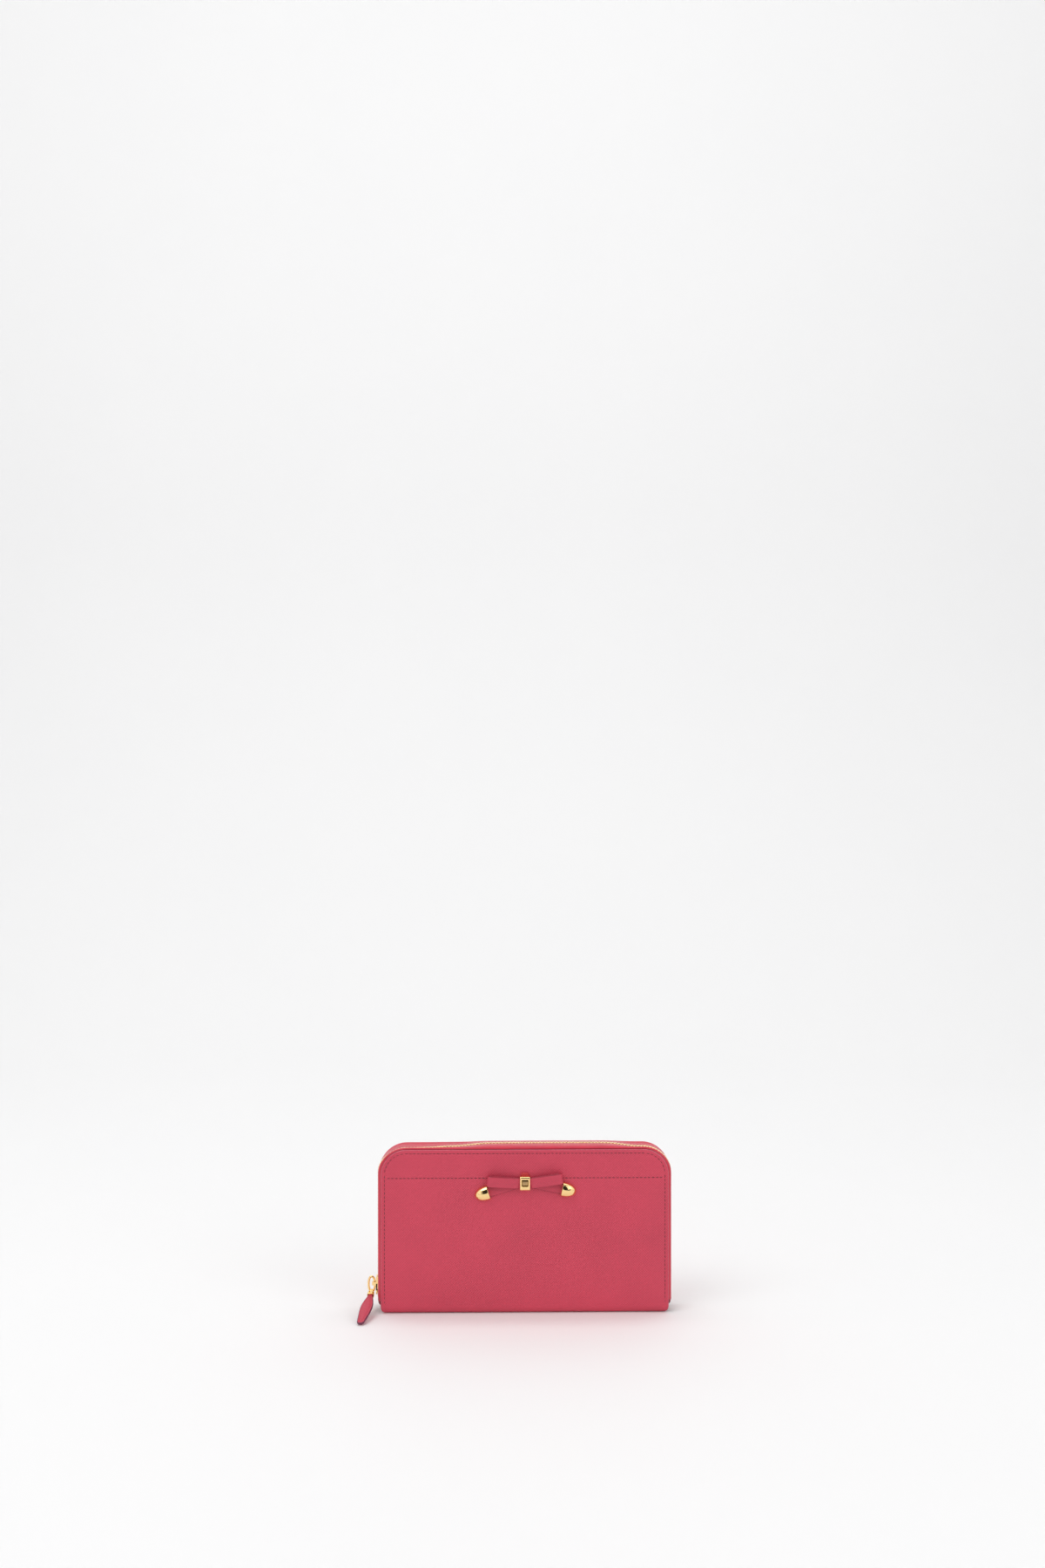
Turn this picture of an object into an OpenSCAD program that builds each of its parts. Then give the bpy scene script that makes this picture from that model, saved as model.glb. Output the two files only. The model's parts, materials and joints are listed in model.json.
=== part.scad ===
// Zip-around wallet with a leather bow, standing on its spine.
// X runs along the width, Y from front to back, Z up. The origin is the middle of the base.

/* [Covers] */
// Width of the front and back covers
cover_w = 190; // [170:1:220]
// Height of the covers above the base
cover_h = 108; // [96:1:130]
// Outside depth of the closed wallet, cover to cover
depth = 24; // [24:0.5:32]
// Radius of the covers' top corners
corner_r = 16.5; // [12:0.5:22]
// Outside radius of the fold between a cover and the spine
fold_r = 5; // [3.5:0.5:6]
// Thickness of the outer leather
leather_t = 1.1; // [0.8:0.1:1.4]
// Thickness of the stiffening board
board_t = 0.5; // [0.3:0.1:0.8]
// Thickness of the lining
lining_t = 0.4; // [0.3:0.1:0.6]
// Width of the cover's margin that is left free of board
board_inset = 6; // [5:0.5:9]
// How far the lining stays inside the cover's edge
lining_inset = 0.8; // [0.6:0.1:1.5]

/* [Main zip] */
// Radial distance from the cover's edge to the middle of the teeth
zip_rise = 1.8; // [1.4:0.1:2.4]
// Distance between neighbouring teeth of one row
tooth_pitch = 2.2; // [2:0.1:2.6]
// Length of a tooth along the zip
tooth_len = 0.9; // [0.7:0.05:0.95]
// Thickness of a tooth, inside to outside
tooth_h = 1.6; // [1.2:0.1:2]
// Width of the closed chain
chain_w = 4.2; // [3.6:0.1:5]
// How far a tooth's head reaches past the chain's middle
tooth_bite = 0.7; // [0.5:0.1:0.9]
// Thickness of the zip tape
tape_t = 0.5; // [0.4:0.05:0.7]
// Width of the tape that is sewn in behind the cover
tape_margin = 4.5; // [3.5:0.5:5]
// Height above the base where the tape's ends are
tape_foot = 8; // [7:0.5:9]
// Height of the leather end patches
end_patch_h = 4; // [3:0.5:4.5]

/* [Slider and pull] */
// Height of the slider's lower end when the zip is closed
slider_z = 10.6; // [10:0.2:14]
// Length of the slider
slider_len = 11.6; // [10:0.2:13]
// Thickness of the slider's two plates
plate_t = 0.9; // [0.7:0.1:1.2]
// Diameter of the pull ring's wire
ring_d = 1.4; // [1.2:0.1:1.6]
// Outside width of the pull ring
ring_w = 5.6; // [5.4:0.1:7]
// Outside height of the pull ring
ring_h = 11.2; // [10:0.2:14]
// Angle that the ring is turned about its own upright side
ring_turn = 5.5; // [0:0.5:8]
// Distance from the ring's wire to the tip of the leather tab
tab_reach = 38.3; // [30:0.1:44]
// Greatest width of the leather tab
tab_w = 7.6; // [6:0.1:8]
// Thickness of the leather tab
tab_t = 2.4; // [1.8:0.1:2.8]

/* [Bow] */
// Height of the bow's middle
bow_z = 86.5; // [60:0.5:88]
// Width of the bow's ribbon
ribbon_w = 6.8; // [5:0.1:7]
// Thickness of the ribbon
ribbon_t = 1.1; // [0.8:0.1:1.3]
// Reach of each loop from the bow's middle
loop_reach = 25; // [18:0.2:30]
// Depth of a loop at its outer end
loop_depth = 4.6; // [3.8:0.1:6]
// Rise of the left loop
loop_rise_left = 4.4; // [0:0.2:10]
// Rise of the right loop
loop_rise_right = 9.2; // [0:0.2:10]
// Droop of the left tail
tail_droop_left = 17; // [5:0.5:18]
// Droop of the right tail
tail_droop_right = 11.5; // [5:0.5:18]
// Length of each tail up to its metal cap
tail_len = 24.8; // [20:0.2:30]
// Radius of a cap at its open end
cap_r = 4.7; // [4:0.1:5]
// Length of a cap
cap_len = 9.6; // [7:0.1:11]
// Width of the metal keeper
keeper_w = 6.5; // [5:0.1:8]
// Thickness of the keeper's metal
keeper_t = 0.9; // [0.7:0.1:1.1]

/* [Inside] */
// Number of card slots in a column
card_rows = 4; // [2:1:4]
// Step between the mouths of neighbouring card slots
card_step = 12; // [10:0.5:13]
// Thickness of one card slot's leather
slot_t = 0.3; // [0.2:0.05:0.35]
// Height of the top card slot's mouth
card_top = 90; // [80:1:90]
// Play behind the card panel for banknotes
note_gap = 0.3; // [0.2:0.05:0.4]
// Half the outside depth of the coin pocket
coin_half = 3.5; // [3.4:0.1:3.8]
// Height of the coin pocket's walls
coin_top = 90; // [78:1:92]
// Thickness of the coin pocket's walls
coin_t = 0.45; // [0.35:0.05:0.6]
// Width of the coin zip's chain
coin_chain_w = 3.6; // [3:0.1:4]
// Length of the coin zip's pull
coin_pull_len = 11; // [8:0.5:12]

/* [Stitching] */
// Distance between stitches
stitch_pitch = 2.6; // [2:0.1:3.4]
// Length of a stitch
stitch_len = 1.7; // [1.2:0.1:2]
// Width of the thread
thread_w = 0.45; // [0.3:0.05:0.6]
// How far the thread stands out of the leather
thread_rise = 0.12; // [0.08:0.01:0.14]
// Distance from the cover's edge to the stitching
stitch_inset = 2.7; // [2:0.1:3.5]
// Distance from the cover's top edge down to the level row of stitches
yoke_drop = 18.6; // [16:0.2:24]

/* [Hidden] */
$fn = 48;

LEATHER = [0.77, 0.29, 0.36];
TAPE = [0.78, 0.22, 0.31];
GOLD = [0.83, 0.65, 0.33];
THREAD = [0.55, 0.17, 0.26];
LINING = [0.72, 0.27, 0.34];
BOARD = [0.62, 0.55, 0.45];

// Layers of the front half, from the cover inwards. The back half is their mirror image.
half = depth / 2;
board_y = -half + leather_t;
lining_y = board_y + board_t;
backing_t = 0.4;
backing_y = lining_y + lining_t + note_gap;
slots_y = backing_y + backing_t;
clear_y = slots_y + card_rows * slot_t;

// Zip path round the left side, the top and the right side.
turn_x = cover_w / 2 - corner_r;
turn_z = cover_h - corner_r;
chain_r = corner_r + zip_rise;
slot_gap = 0.05;
tooth_root = tooth_h / 2 + 0.25;
tape_side = tooth_root + slot_gap;
slider_gap = 0.15;
diamond_len = 2.8;
diamond_gap = 0.5;
stop_len = 1.4;
stop_gap = 0.15;
stop_side = 0.1;
stop_room = 3.4;
first_tooth_z = slider_z + diamond_len + diamond_gap + tooth_len / 2;
last_tooth_z = tape_foot + stop_room;
bend_run = chain_r * PI / 2;
left_run = turn_z - first_tooth_z;
top_run = 2 * turn_x;
right_run = turn_z - last_tooth_z;
chain_run = left_run + top_run + right_run + 2 * bend_run;
half_pitches = floor(chain_run / (tooth_pitch / 2));

// Tape: flat beside the teeth, then down to the cover's edge.
tape_flat = 4.8;
tape_shoulder = [zip_rise - 0.6, half - 2.8];
tape_edge_u = -0.3;
tape_slant = 0.1;

// Pull ring and tab, on the left side of the wallet.
slider_x = -(cover_w / 2 + zip_rise);
plate_out = tooth_h / 2 + slider_gap + plate_t;
lug_gap = 0.25;
lug_wall = 0.9;
lug_r = ring_d / 2 + lug_gap + lug_wall;
lug_len = 2.4;
lug_lift = 0.6;
ring_axis_x = slider_x - plate_out - ring_d / 2 - lug_gap;
ring_lift = 0.4;
ring_low = slider_z + ring_lift;
ring_bend_r = (ring_w - ring_d) / 2;
ring_straight = ring_h - ring_w;
wire_z = ring_low + ring_d / 2;
tab_clear = 0.15;
tab_lean = acos((wire_z - tab_clear - tab_t / 2) / tab_reach);
eye_gap = 0.28;
eye_wall = 0.65;
eye_r = ring_d / 2 + eye_gap;
eye_out_r = eye_r + eye_wall;
ferrule_w = 4.4;
ferrule_len = 3.4;
ferrule_t = 0.5;
ferrule_gap = 0.3;
neck_w = 3.4;
neck_play = 0.05;
neck_len = 7;
neck_top = -eye_out_r - 1.1;

// Bow, on the front cover.
lay_gap = 0.15;
bow_y = -half - lay_gap;
loop_pinch_r = 1.2;
ribbon_turn_x = keeper_w / 2 + 0.2;
core_gap = 0.05;
keeper_depth = ribbon_t + 2 * loop_pinch_r + 2 * lay_gap + keeper_t;
keeper_in_h = ribbon_w + 0.5;
core_w = keeper_w + 0.4;
prong_w = 3;
prong_gap = 0.1;
plate_rim = [4, 2];
plate_play = 0.2;
tail_w = ribbon_w - 0.4;
tail_in_cap = 3;
cap_play = 0.1;

// Inside.
card_side = 7;
card_foot = 8;
backing_foot = 6;
backing_rise = 4;
card_w = cover_w - 2 * card_side;
coin_foot = 3.6;
coin_side = 10.5;
coin_w = cover_w - 2 * coin_side;
gusset_t = 0.35;
gusset_top = coin_top - 1;
gusset_gap = 0.3;
gusset_binding = 0.5;
pleat_depth = 15;
coin_seam_drop = 6;
coin_tape_t = 0.4;
coin_tape_inset = 1;
coin_tooth_h = 1.4;
coin_slider_len = 8;
coin_plate_t = 0.7;
coin_lift = 0.15;
coin_zip_z = coin_top + coin_plate_t + slider_gap + coin_tooth_h / 2 + coin_lift;
coin_tape_drop = 5;
coin_slider_x = -coin_w / 2 + 3.5;
coin_arch_in = 1.5;
coin_arch_shift = 0.3;
coin_arch_x = coin_slider_x + coin_slider_len / 2 - coin_arch_shift;
coin_plate_top = coin_zip_z + coin_tooth_h / 2 + slider_gap + coin_plate_t;
coin_first_x = coin_slider_x + 3.6;
coin_chain_end = 2.5;
coin_chain_len = coin_w / 2 - coin_chain_end - coin_first_x;
coin_half_pitches = floor(coin_chain_len / (tooth_pitch / 2));

// Stitching.
stitch_foot = fold_r + 1.5;
channel_half = thread_w / 2 + 0.1;
yoke_end = 2.4;

function clamp01(t) = max(0, min(1, t));

// Outward angle at a distance s along the chain: 180 on the left, 90 on top, 0 on the right.
function chain_angle(s) =
    180 - 90 * clamp01((s - left_run) / bend_run)
        - 90 * clamp01((s - left_run - bend_run - top_run) / bend_run);

// Centre that the outward direction is measured from, which moves along the straight stretches.
function chain_hub(s) = [
    -turn_x + max(0, min(top_run, s - left_run - bend_run)),
    turn_z - max(0, left_run - s) - max(0, s - left_run - 2 * bend_run - top_run)];

module mirror_back() {
    mirror([0, 1, 0]) children();
}

// A 2D section drawn as (Y, Z), run along the width.
module along_width(width) {
    translate([-width / 2, 0, 0]) rotate([90, 0, 90]) linear_extrude(width) children();
}

// The cover's outline as (X, Z), taken in by inset and cut off below foot.
module cover_outline(inset, foot) {
    translate([-cover_w / 2 + inset, foot]) square([cover_w - 2 * inset, turn_z - foot]);
    translate([-turn_x, foot]) square([2 * turn_x, cover_h - inset - foot]);
    for (side = [-1, 1])
        translate([side * turn_x, turn_z]) circle(corner_r - inset, $fn = 96);
}

module cover_layer(y, thickness, inset, foot) {
    translate([0, y + thickness, 0]) rotate([90, 0, 0])
        linear_extrude(thickness) cover_outline(inset, foot);
}

// Runs a section round the left side, the top and the right side.
// The section's X is the distance out from the cover's edge and its Y lies along the depth.
module round_three_sides(foot) {
    translate([turn_x, 0, cover_h]) rotate([0, -90, 0]) linear_extrude(2 * turn_x) children();
    for (side = [0, 1]) mirror([side, 0, 0]) {
        translate([cover_w / 2, 0, foot]) linear_extrude(turn_z - foot) children();
        translate([turn_x, 0, turn_z]) rotate([90, 0, 0])
            rotate_extrude(angle = 90, $fn = 96)
                translate([corner_r, 0]) mirror([0, 1]) children();
    }
}

module tape_section() {
    t = tape_t / 2;
    edge = -board_y - t;
    polygon([
        [-tape_margin, -edge - t], [tape_edge_u + tape_slant, -edge - t],
        [tape_shoulder[0] + t, -tape_shoulder[1] - t], [zip_rise + t, -tape_flat],
        [zip_rise + t, -tape_side], [zip_rise - t, -tape_side],
        [zip_rise - t, -tape_flat], [tape_shoulder[0] - t, -tape_shoulder[1] + t],
        [tape_edge_u - tape_slant, -edge + t], [-tape_margin, -edge + t]]);
}

// One tooth of the front row: a head that crosses the middle and two legs that clamp the tape.
module tooth(width, height, tape) {
    h = height / 2;
    g = tape / 2 + slot_gap;
    linear_extrude(tooth_len, center = true)
        polygon([
            [-h, -width / 2], [-h, tooth_bite], [h, tooth_bite], [h, -width / 2],
            [g, -width / 2], [g, -tooth_root], [-g, -tooth_root], [-g, -width / 2]]);
}

module on_chain(s) {
    a = chain_angle(s);
    hub = chain_hub(s);
    translate([hub[0] + chain_r * cos(a), 0, hub[1] + chain_r * sin(a)])
        rotate([0, -a, 0]) children();
}

module teeth_row(first) {
    color(GOLD)
        for (k = [first:2:half_pitches])
            on_chain(k * tooth_pitch / 2) tooth(chain_w, tooth_h, tape_t);
}

// A metal stop on one tape edge: under the slider on the left, under the last tooth on the right.
module stop_pair() {
    left_z = slider_z - stop_gap - stop_len;
    right_z = last_tooth_z - tooth_pitch / 2 - stop_len;
    g = tape_t / 2 + slot_gap;
    h = tooth_h / 2;
    for (end = [[-1, left_z], [1, right_z]])
        translate([end[0] * (cover_w / 2 + zip_rise), 0, end[1]])
            linear_extrude(stop_len)
                polygon([
                    [-h, -chain_w / 2], [-h, -stop_side], [h, -stop_side],
                    [h, -chain_w / 2], [g, -chain_w / 2], [g, -tooth_root],
                    [-g, -tooth_root], [-g, -chain_w / 2]]);
}

// A stitch that lies on the cover, or level with its face when it is sunk.
module stitch(sunk) {
    translate([-stitch_len / 2, sunk ? 0 : -thread_rise, -thread_w / 2])
        cube([stitch_len, thread_rise, thread_w]);
}

// The channel round three sides that the sunk stitches lie in.
module stitch_channel() {
    difference() {
        cover_layer(-half - thread_rise, 2 * thread_rise, stitch_inset - channel_half, stitch_foot);
        cover_layer(-half - 2 * thread_rise, 4 * thread_rise, stitch_inset + channel_half,
                    stitch_foot - stitch_len);
    }
}

// Stitches round three sides of the front cover.
module edge_stitches() {
    r = corner_r - stitch_inset;
    bend = r * PI / 2;
    side = turn_z - stitch_foot;
    side_n = floor(side / stitch_pitch);
    top_n = floor(2 * turn_x / stitch_pitch);
    bend_n = round(bend / stitch_pitch);
    translate([0, -half, 0]) {
        for (k = [0:top_n])
            translate([(k - top_n / 2) * stitch_pitch, 0, cover_h - stitch_inset]) stitch(true);
        for (m = [0, 1]) mirror([m, 0, 0]) {
            for (k = [0:side_n - 1])
                translate([cover_w / 2 - stitch_inset, 0, stitch_foot + (k + 0.5) * side / side_n])
                    rotate([0, 90, 0]) stitch(true);
            for (k = [1:bend_n - 1])
                translate([turn_x, 0, turn_z]) rotate([0, -90 * k / bend_n, 0])
                    translate([r, 0, 0]) rotate([0, 90, 0]) stitch(true);
        }
    }
}

module front_cover() {
    color(LEATHER) difference() {
        cover_layer(-half, leather_t, 0, fold_r);
        stitch_channel();
        prong_slots();
    }
}

module prong_slots() {
    for (side = [-1, 1])
        translate([-prong_w / 2 - prong_gap, -half - 1, bow_z
                   + side * (keeper_in_h + keeper_t) / 2 - keeper_t / 2 - prong_gap])
            cube([prong_w + 2 * prong_gap, 4, keeper_t + 2 * prong_gap]);
}

module keeper_plate_box(gap) {
    width = prong_w + 2 * plate_rim[0];
    height = keeper_in_h + 2 * keeper_t + 2 * plate_rim[1];
    translate([-width / 2 - gap, board_y, bow_z - height / 2 - gap])
        cube([width + 2 * gap, board_t, height + 2 * gap]);
}

module front_board() {
    color(BOARD) difference() {
        cover_layer(board_y, board_t, board_inset, fold_r + 1);
        keeper_plate_box(plate_play);
    }
}

module front_lining() {
    color(LINING) cover_layer(lining_y, lining_t, lining_inset, fold_r + 0.2);
}

module front_zip_tape() {
    color(TAPE) round_three_sides(tape_foot) tape_section();
}

module front_zip_teeth() {
    teeth_row(0);
}

module front_zip_stops() {
    color(GOLD) stop_pair();
}

module front_stitching() {
    color(THREAD) edge_stitches();
}

// The level row of stitches that crosses the front behind the bow.
module yoke_stitching() {
    reach = cover_w / 2 - stitch_inset - yoke_end;
    count = floor(2 * reach / stitch_pitch);
    behind_keeper = keeper_w / 2 + stitch_len;
    color(THREAD)
        for (k = [0:count]) {
            x = (k - count / 2) * stitch_pitch;
            if (abs(x) > behind_keeper)
                translate([x, -half, cover_h - yoke_drop]) stitch(false);
        }
}

module front_card_backing() {
    color(LINING) translate([-card_w / 2, backing_y, backing_foot])
        cube([card_w, backing_t, card_top + backing_rise - backing_foot]);
}

// Two columns of slots, each slot lying in front of the one above it.
module front_card_slots() {
    seam = 1;
    color(LEATHER)
        for (side = [0, 1], row = [0:card_rows - 1]) mirror([side, 0, 0])
            translate([seam, slots_y + row * slot_t, card_foot])
                cube([card_w / 2 - seam, slot_t, card_top - row * card_step - card_foot]);
}

// One flattened loop of ribbon, seen from above, growing from the keeper outwards.
module loop_section(wall) {
    inner_x = ribbon_turn_x + loop_pinch_r;
    outer_r = loop_depth / 2;
    pinched = 0.95;
    hull() {
        translate([inner_x, -loop_pinch_r]) circle(loop_pinch_r - wall * pinched, $fn = 24);
        translate([loop_reach - outer_r, -outer_r]) circle(outer_r - wall, $fn = 32);
    }
}

module loop_shape() {
    translate([0, bow_y - ribbon_t - lay_gap, -ribbon_w / 2])
        linear_extrude(ribbon_w) difference() {
            loop_section(0);
            loop_section(ribbon_t);
        }
}

// Turns a ribbon about the keeper's edge, upwards for a positive angle.
module ribbon_at(side, angle) {
    translate([0, 0, bow_z]) mirror([side < 0 ? 1 : 0, 0, 0])
        translate([ribbon_turn_x, 0, 0]) rotate([0, -angle, 0])
            translate([-ribbon_turn_x, 0, 0]) children();
}

module bow_loops() {
    color(LEATHER) {
        ribbon_at(-1, loop_rise_left) loop_shape();
        ribbon_at(1, loop_rise_right) loop_shape();
        translate([-core_w / 2, bow_y - ribbon_t - lay_gap - 2 * loop_pinch_r + core_gap,
                   bow_z - ribbon_w / 2])
            cube([core_w, 2 * (loop_pinch_r - core_gap), ribbon_w]);
    }
}

module tail_shape() {
    start = keeper_w / 2;
    translate([start, bow_y - ribbon_t, -tail_w / 2])
        cube([tail_len + tail_in_cap - start, ribbon_t, tail_w]);
}

module bow_tails() {
    color(LEATHER) {
        ribbon_at(-1, -tail_droop_left) tail_shape();
        ribbon_at(1, -tail_droop_right) tail_shape();
        translate([-core_w / 2, bow_y - ribbon_t, bow_z - tail_w / 2])
            cube([core_w, ribbon_t, tail_w]);
    }
}

module keeper_plate() {
    color(GOLD) difference() {
        keeper_plate_box(0);
        prong_slots();
    }
}

// A metal band over the bow's middle, with a flat front, sloping shoulders and two prongs.
module bow_keeper() {
    out_h = keeper_in_h + 2 * keeper_t;
    slope = 2;
    color(GOLD) translate([0, 0, bow_z]) {
        translate([-keeper_w / 2, 0, 0]) rotate([90, 0, 90]) linear_extrude(keeper_w)
            difference() {
                polygon([
                    [bow_y, -out_h / 2], [bow_y, out_h / 2],
                    [bow_y - keeper_depth + slope / 2, out_h / 2],
                    [bow_y - keeper_depth, out_h / 2 - slope],
                    [bow_y - keeper_depth, -out_h / 2 + slope],
                    [bow_y - keeper_depth + slope / 2, -out_h / 2]]);
                translate([bow_y - keeper_depth + keeper_t, -keeper_in_h / 2])
                    square([keeper_depth, keeper_in_h]);
            }
        for (side = [-1, 1])
            translate([-prong_w / 2, bow_y, side * (keeper_in_h + keeper_t) / 2 - keeper_t / 2])
                cube([prong_w, lay_gap + leather_t + board_t, keeper_t]);
    }
}

// A pointed half dome with a flat back, and a pocket that the end of the tail sits in.
module cap_shape() {
    arch_r = (cap_len * cap_len + cap_r * cap_r) / (2 * cap_r);
    translate([tail_len, bow_y, 0]) difference() {
        rotate([0, 90, 0]) rotate([0, 0, 180]) rotate_extrude(angle = 180, $fn = 64)
            intersection() {
                translate([-(arch_r - cap_r), 0]) circle(arch_r, $fn = 128);
                square([cap_r, cap_len]);
            }
        translate([-tail_in_cap, -ribbon_t - cap_play, -tail_w / 2 - cap_play])
            cube([2 * tail_in_cap + cap_play, 2 * ribbon_t, tail_w + 2 * cap_play]);
    }
}

module bow_cap_left() {
    color(GOLD) ribbon_at(-1, -tail_droop_left) cap_shape();
}

module bow_cap_right() {
    color(GOLD) ribbon_at(1, -tail_droop_right) cap_shape();
}

module back_cover() {
    color(LEATHER) mirror_back() difference() {
        cover_layer(-half, leather_t, 0, fold_r);
        stitch_channel();
    }
}

// The trough that joins the two covers, flat underneath.
module trough(radius, lift) {
    for (side = [-1, 1])
        translate([side * (half - fold_r), fold_r]) circle(radius, $fn = 64);
    translate([-half + fold_r, lift]) square([depth - 2 * fold_r, fold_r]);
}

module spine() {
    color(LEATHER) along_width(cover_w) difference() {
        trough(fold_r, 0);
        trough(fold_r - leather_t, leather_t);
        translate([-depth, fold_r]) square([2 * depth, fold_r + 1]);
    }
}

module spine_lining() {
    color(LINING) along_width(cover_w - 2 * lining_inset)
        translate([-half + fold_r, leather_t]) square([depth - 2 * fold_r, lining_t]);
}

module back_board() {
    color(BOARD) mirror_back() cover_layer(board_y, board_t, board_inset, fold_r + 1);
}

module back_lining() {
    mirror_back() front_lining();
}

module back_zip_tape() {
    mirror_back() front_zip_tape();
}

module back_zip_teeth() {
    mirror_back() teeth_row(1);
}

module back_zip_stops() {
    mirror_back() front_zip_stops();
}

module back_stitching() {
    mirror_back() front_stitching();
}

module back_card_backing() {
    mirror_back() front_card_backing();
}

module back_card_slots() {
    mirror_back() front_card_slots();
}

// Unit vector to the left of the way from a to b.
function left_of(a, b) = [a[1] - b[1], b[0] - a[0]] / norm(b - a);

// Point k of a path, moved to its left so that the stretches on both sides move by d.
function beside(path, k, d) =
    let (last = len(path) - 1,
         before = left_of(path[max(0, k - 1)], path[max(1, k)]),
         after = left_of(path[min(last - 1, k)], path[min(last, k + 1)]),
         both = before + after)
    path[k] + 2 * d * both / (both * both);

// A pleated side that binds one card panel's edge, runs along the coin pocket's side
// and ends at the other card panel.
module gusset() {
    bound_x = card_w / 2 + gusset_t / 2;
    pleat_x = card_w / 2 - pleat_depth;
    pleat_y = -(coin_half - clear_y) / 2;
    pocket_x = coin_w / 2 + gusset_t / 2;
    pocket_y = coin_half + coin_tape_t + gusset_gap;
    turn_y = clear_y + gusset_binding;
    path = [
        [bound_x, backing_y], [bound_x, turn_y], [pleat_x, pleat_y], [pocket_x, -pocket_y],
        [pocket_x, pocket_y], [pleat_x, -pleat_y], [bound_x, -turn_y], [bound_x, -backing_y]];
    last = len(path) - 1;
    color(LINING) translate([0, 0, card_foot]) linear_extrude(gusset_top - card_foot)
        polygon(concat(
            [for (k = [0:last]) beside(path, k, gusset_t / 2)],
            [for (k = [last:-1:0]) beside(path, k, -gusset_t / 2)]));
}

module right_gusset() {
    gusset();
}

module left_gusset() {
    mirror([1, 0, 0]) gusset();
}

// A leather patch that closes the wallet's side below the end of the zip.
module end_patch() {
    patch_t = 1;
    patch_clear = 2;
    patch_w = depth - 2 * (leather_t + patch_clear);
    color(LEATHER)
        translate([cover_w / 2 - patch_t / 2, -patch_w / 2, tape_foot - end_patch_h])
            cube([patch_t, patch_w, end_patch_h]);
}

module right_end_patch() {
    end_patch();
}

module left_end_patch() {
    mirror([1, 0, 0]) end_patch();
}

module coin_front_wall() {
    color(LEATHER) translate([-coin_w / 2, -coin_half, coin_foot])
        cube([coin_w, coin_t, coin_top - coin_foot]);
}

module coin_back_wall() {
    mirror_back() coin_front_wall();
}

// The bottom and the two sides of the coin pocket.
module coin_seams() {
    inner = coin_half - coin_t;
    color(LEATHER) {
        translate([-coin_w / 2, -inner, coin_foot]) cube([coin_w, 2 * inner, coin_t]);
        for (side = [0, 1]) mirror([side, 0, 0])
            translate([coin_w / 2 - coin_t, -inner, coin_foot + coin_t])
                cube([coin_t, 2 * inner, coin_top - coin_seam_drop - coin_foot - coin_t]);
    }
}

// The tape lies against the pocket wall's outside and turns in over its top to the teeth.
module coin_front_tape() {
    outer = coin_half + coin_tape_t;
    top = coin_zip_z + coin_tape_t / 2;
    foot = coin_top - coin_tape_drop;
    color(TAPE) along_width(coin_w - 2 * coin_tape_inset) {
        translate([-outer, top - coin_tape_t]) square([outer - tape_side, coin_tape_t]);
        translate([-outer, foot]) square([coin_tape_t, top - foot]);
    }
}

module coin_back_tape() {
    mirror_back() coin_front_tape();
}

module coin_teeth(first) {
    color(GOLD)
        for (k = [first:2:coin_half_pitches])
            translate([coin_first_x + k * tooth_pitch / 2, 0, coin_zip_z])
                rotate([0, -90, 0]) tooth(coin_chain_w, coin_tooth_h, coin_tape_t);
}

module coin_front_teeth() {
    coin_teeth(0);
}

module coin_back_teeth() {
    mirror_back() coin_teeth(1);
}

// A slider in its own axes: X out of the zip, Y across it, Z along it from the open end.
module slider_body(length, chain, teeth_h, plate, tape, flange, flare) {
    narrow = chain / 2 + slider_gap + flange;
    wide = narrow + flare;
    inside = teeth_h / 2 + slider_gap;
    lip = tape / 2 + slider_gap;
    flange_z = diamond_len + 0.6;
    nose = 0.9;
    nose_z = 1.2;
    shoulder_z = 0.6 * length;
    post = [0.8, 0.2];
    for (side = [0, 1]) mirror([side, 0, 0]) {
        translate([inside, 0, 0]) rotate([90, 0, 90]) linear_extrude(plate)
            polygon([
                [-wide + nose, 0], [wide - nose, 0], [wide, nose_z], [wide, diamond_len],
                [narrow, shoulder_z], [narrow, length], [-narrow, length],
                [-narrow, shoulder_z], [-wide, diamond_len], [-wide, nose_z]]);
        for (across = [0, 1]) mirror([0, across, 0])
            translate([lip, narrow - flange, flange_z])
                cube([inside - lip, flange, length - flange_z]);
    }
    translate([-inside, 0, 0]) rotate([90, 0, 90]) linear_extrude(2 * inside)
        polygon([[0, post[1]], [post[0], nose_z], [0, diamond_len], [-post[0], nose_z]]);
}

// The slider has a knuckle, with a bore along the zip, that the ring's upright side runs in.
module zip_slider() {
    lug_z = ring_low + ring_w / 2 + ring_straight / 2 - lug_len / 2 + lug_lift;
    flange = 0.7;
    flare = 0.8;
    color(GOLD) {
        translate([slider_x, 0, slider_z]) rotate([0, 0, 180])
            slider_body(slider_len, chain_w, tooth_h, plate_t, tape_t, flange, flare);
        translate([ring_axis_x, 0, lug_z]) difference() {
            union() {
                cylinder(lug_len, r = lug_r);
                translate([0, -lug_r, 0])
                    cube([slider_x - plate_out + plate_t / 2 - ring_axis_x, 2 * lug_r, lug_len]);
            }
            translate([0, 0, -1]) cylinder(lug_len + 2, r = ring_d / 2 + lug_gap);
        }
    }
}

// Places the ring, turned about its own upright side.
module ring_frame() {
    translate([ring_axis_x, 0, 0]) rotate([0, 0, -ring_turn]) children();
}

module pull_ring() {
    middle_z = ring_low + ring_w / 2;
    color(GOLD) ring_frame() translate([-ring_bend_r, 0, 0]) {
        for (side = [-1, 1])
            translate([side * ring_bend_r, 0, middle_z]) cylinder(ring_straight, d = ring_d);
        translate([0, 0, middle_z + ring_straight]) rotate([90, 0, 0])
            rotate_extrude(angle = 180) translate([ring_bend_r, 0]) circle(d = ring_d);
        translate([0, 0, middle_z]) rotate([-90, 0, 0])
            rotate_extrude(angle = 180) translate([ring_bend_r, 0]) circle(d = ring_d);
    }
}

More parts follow.
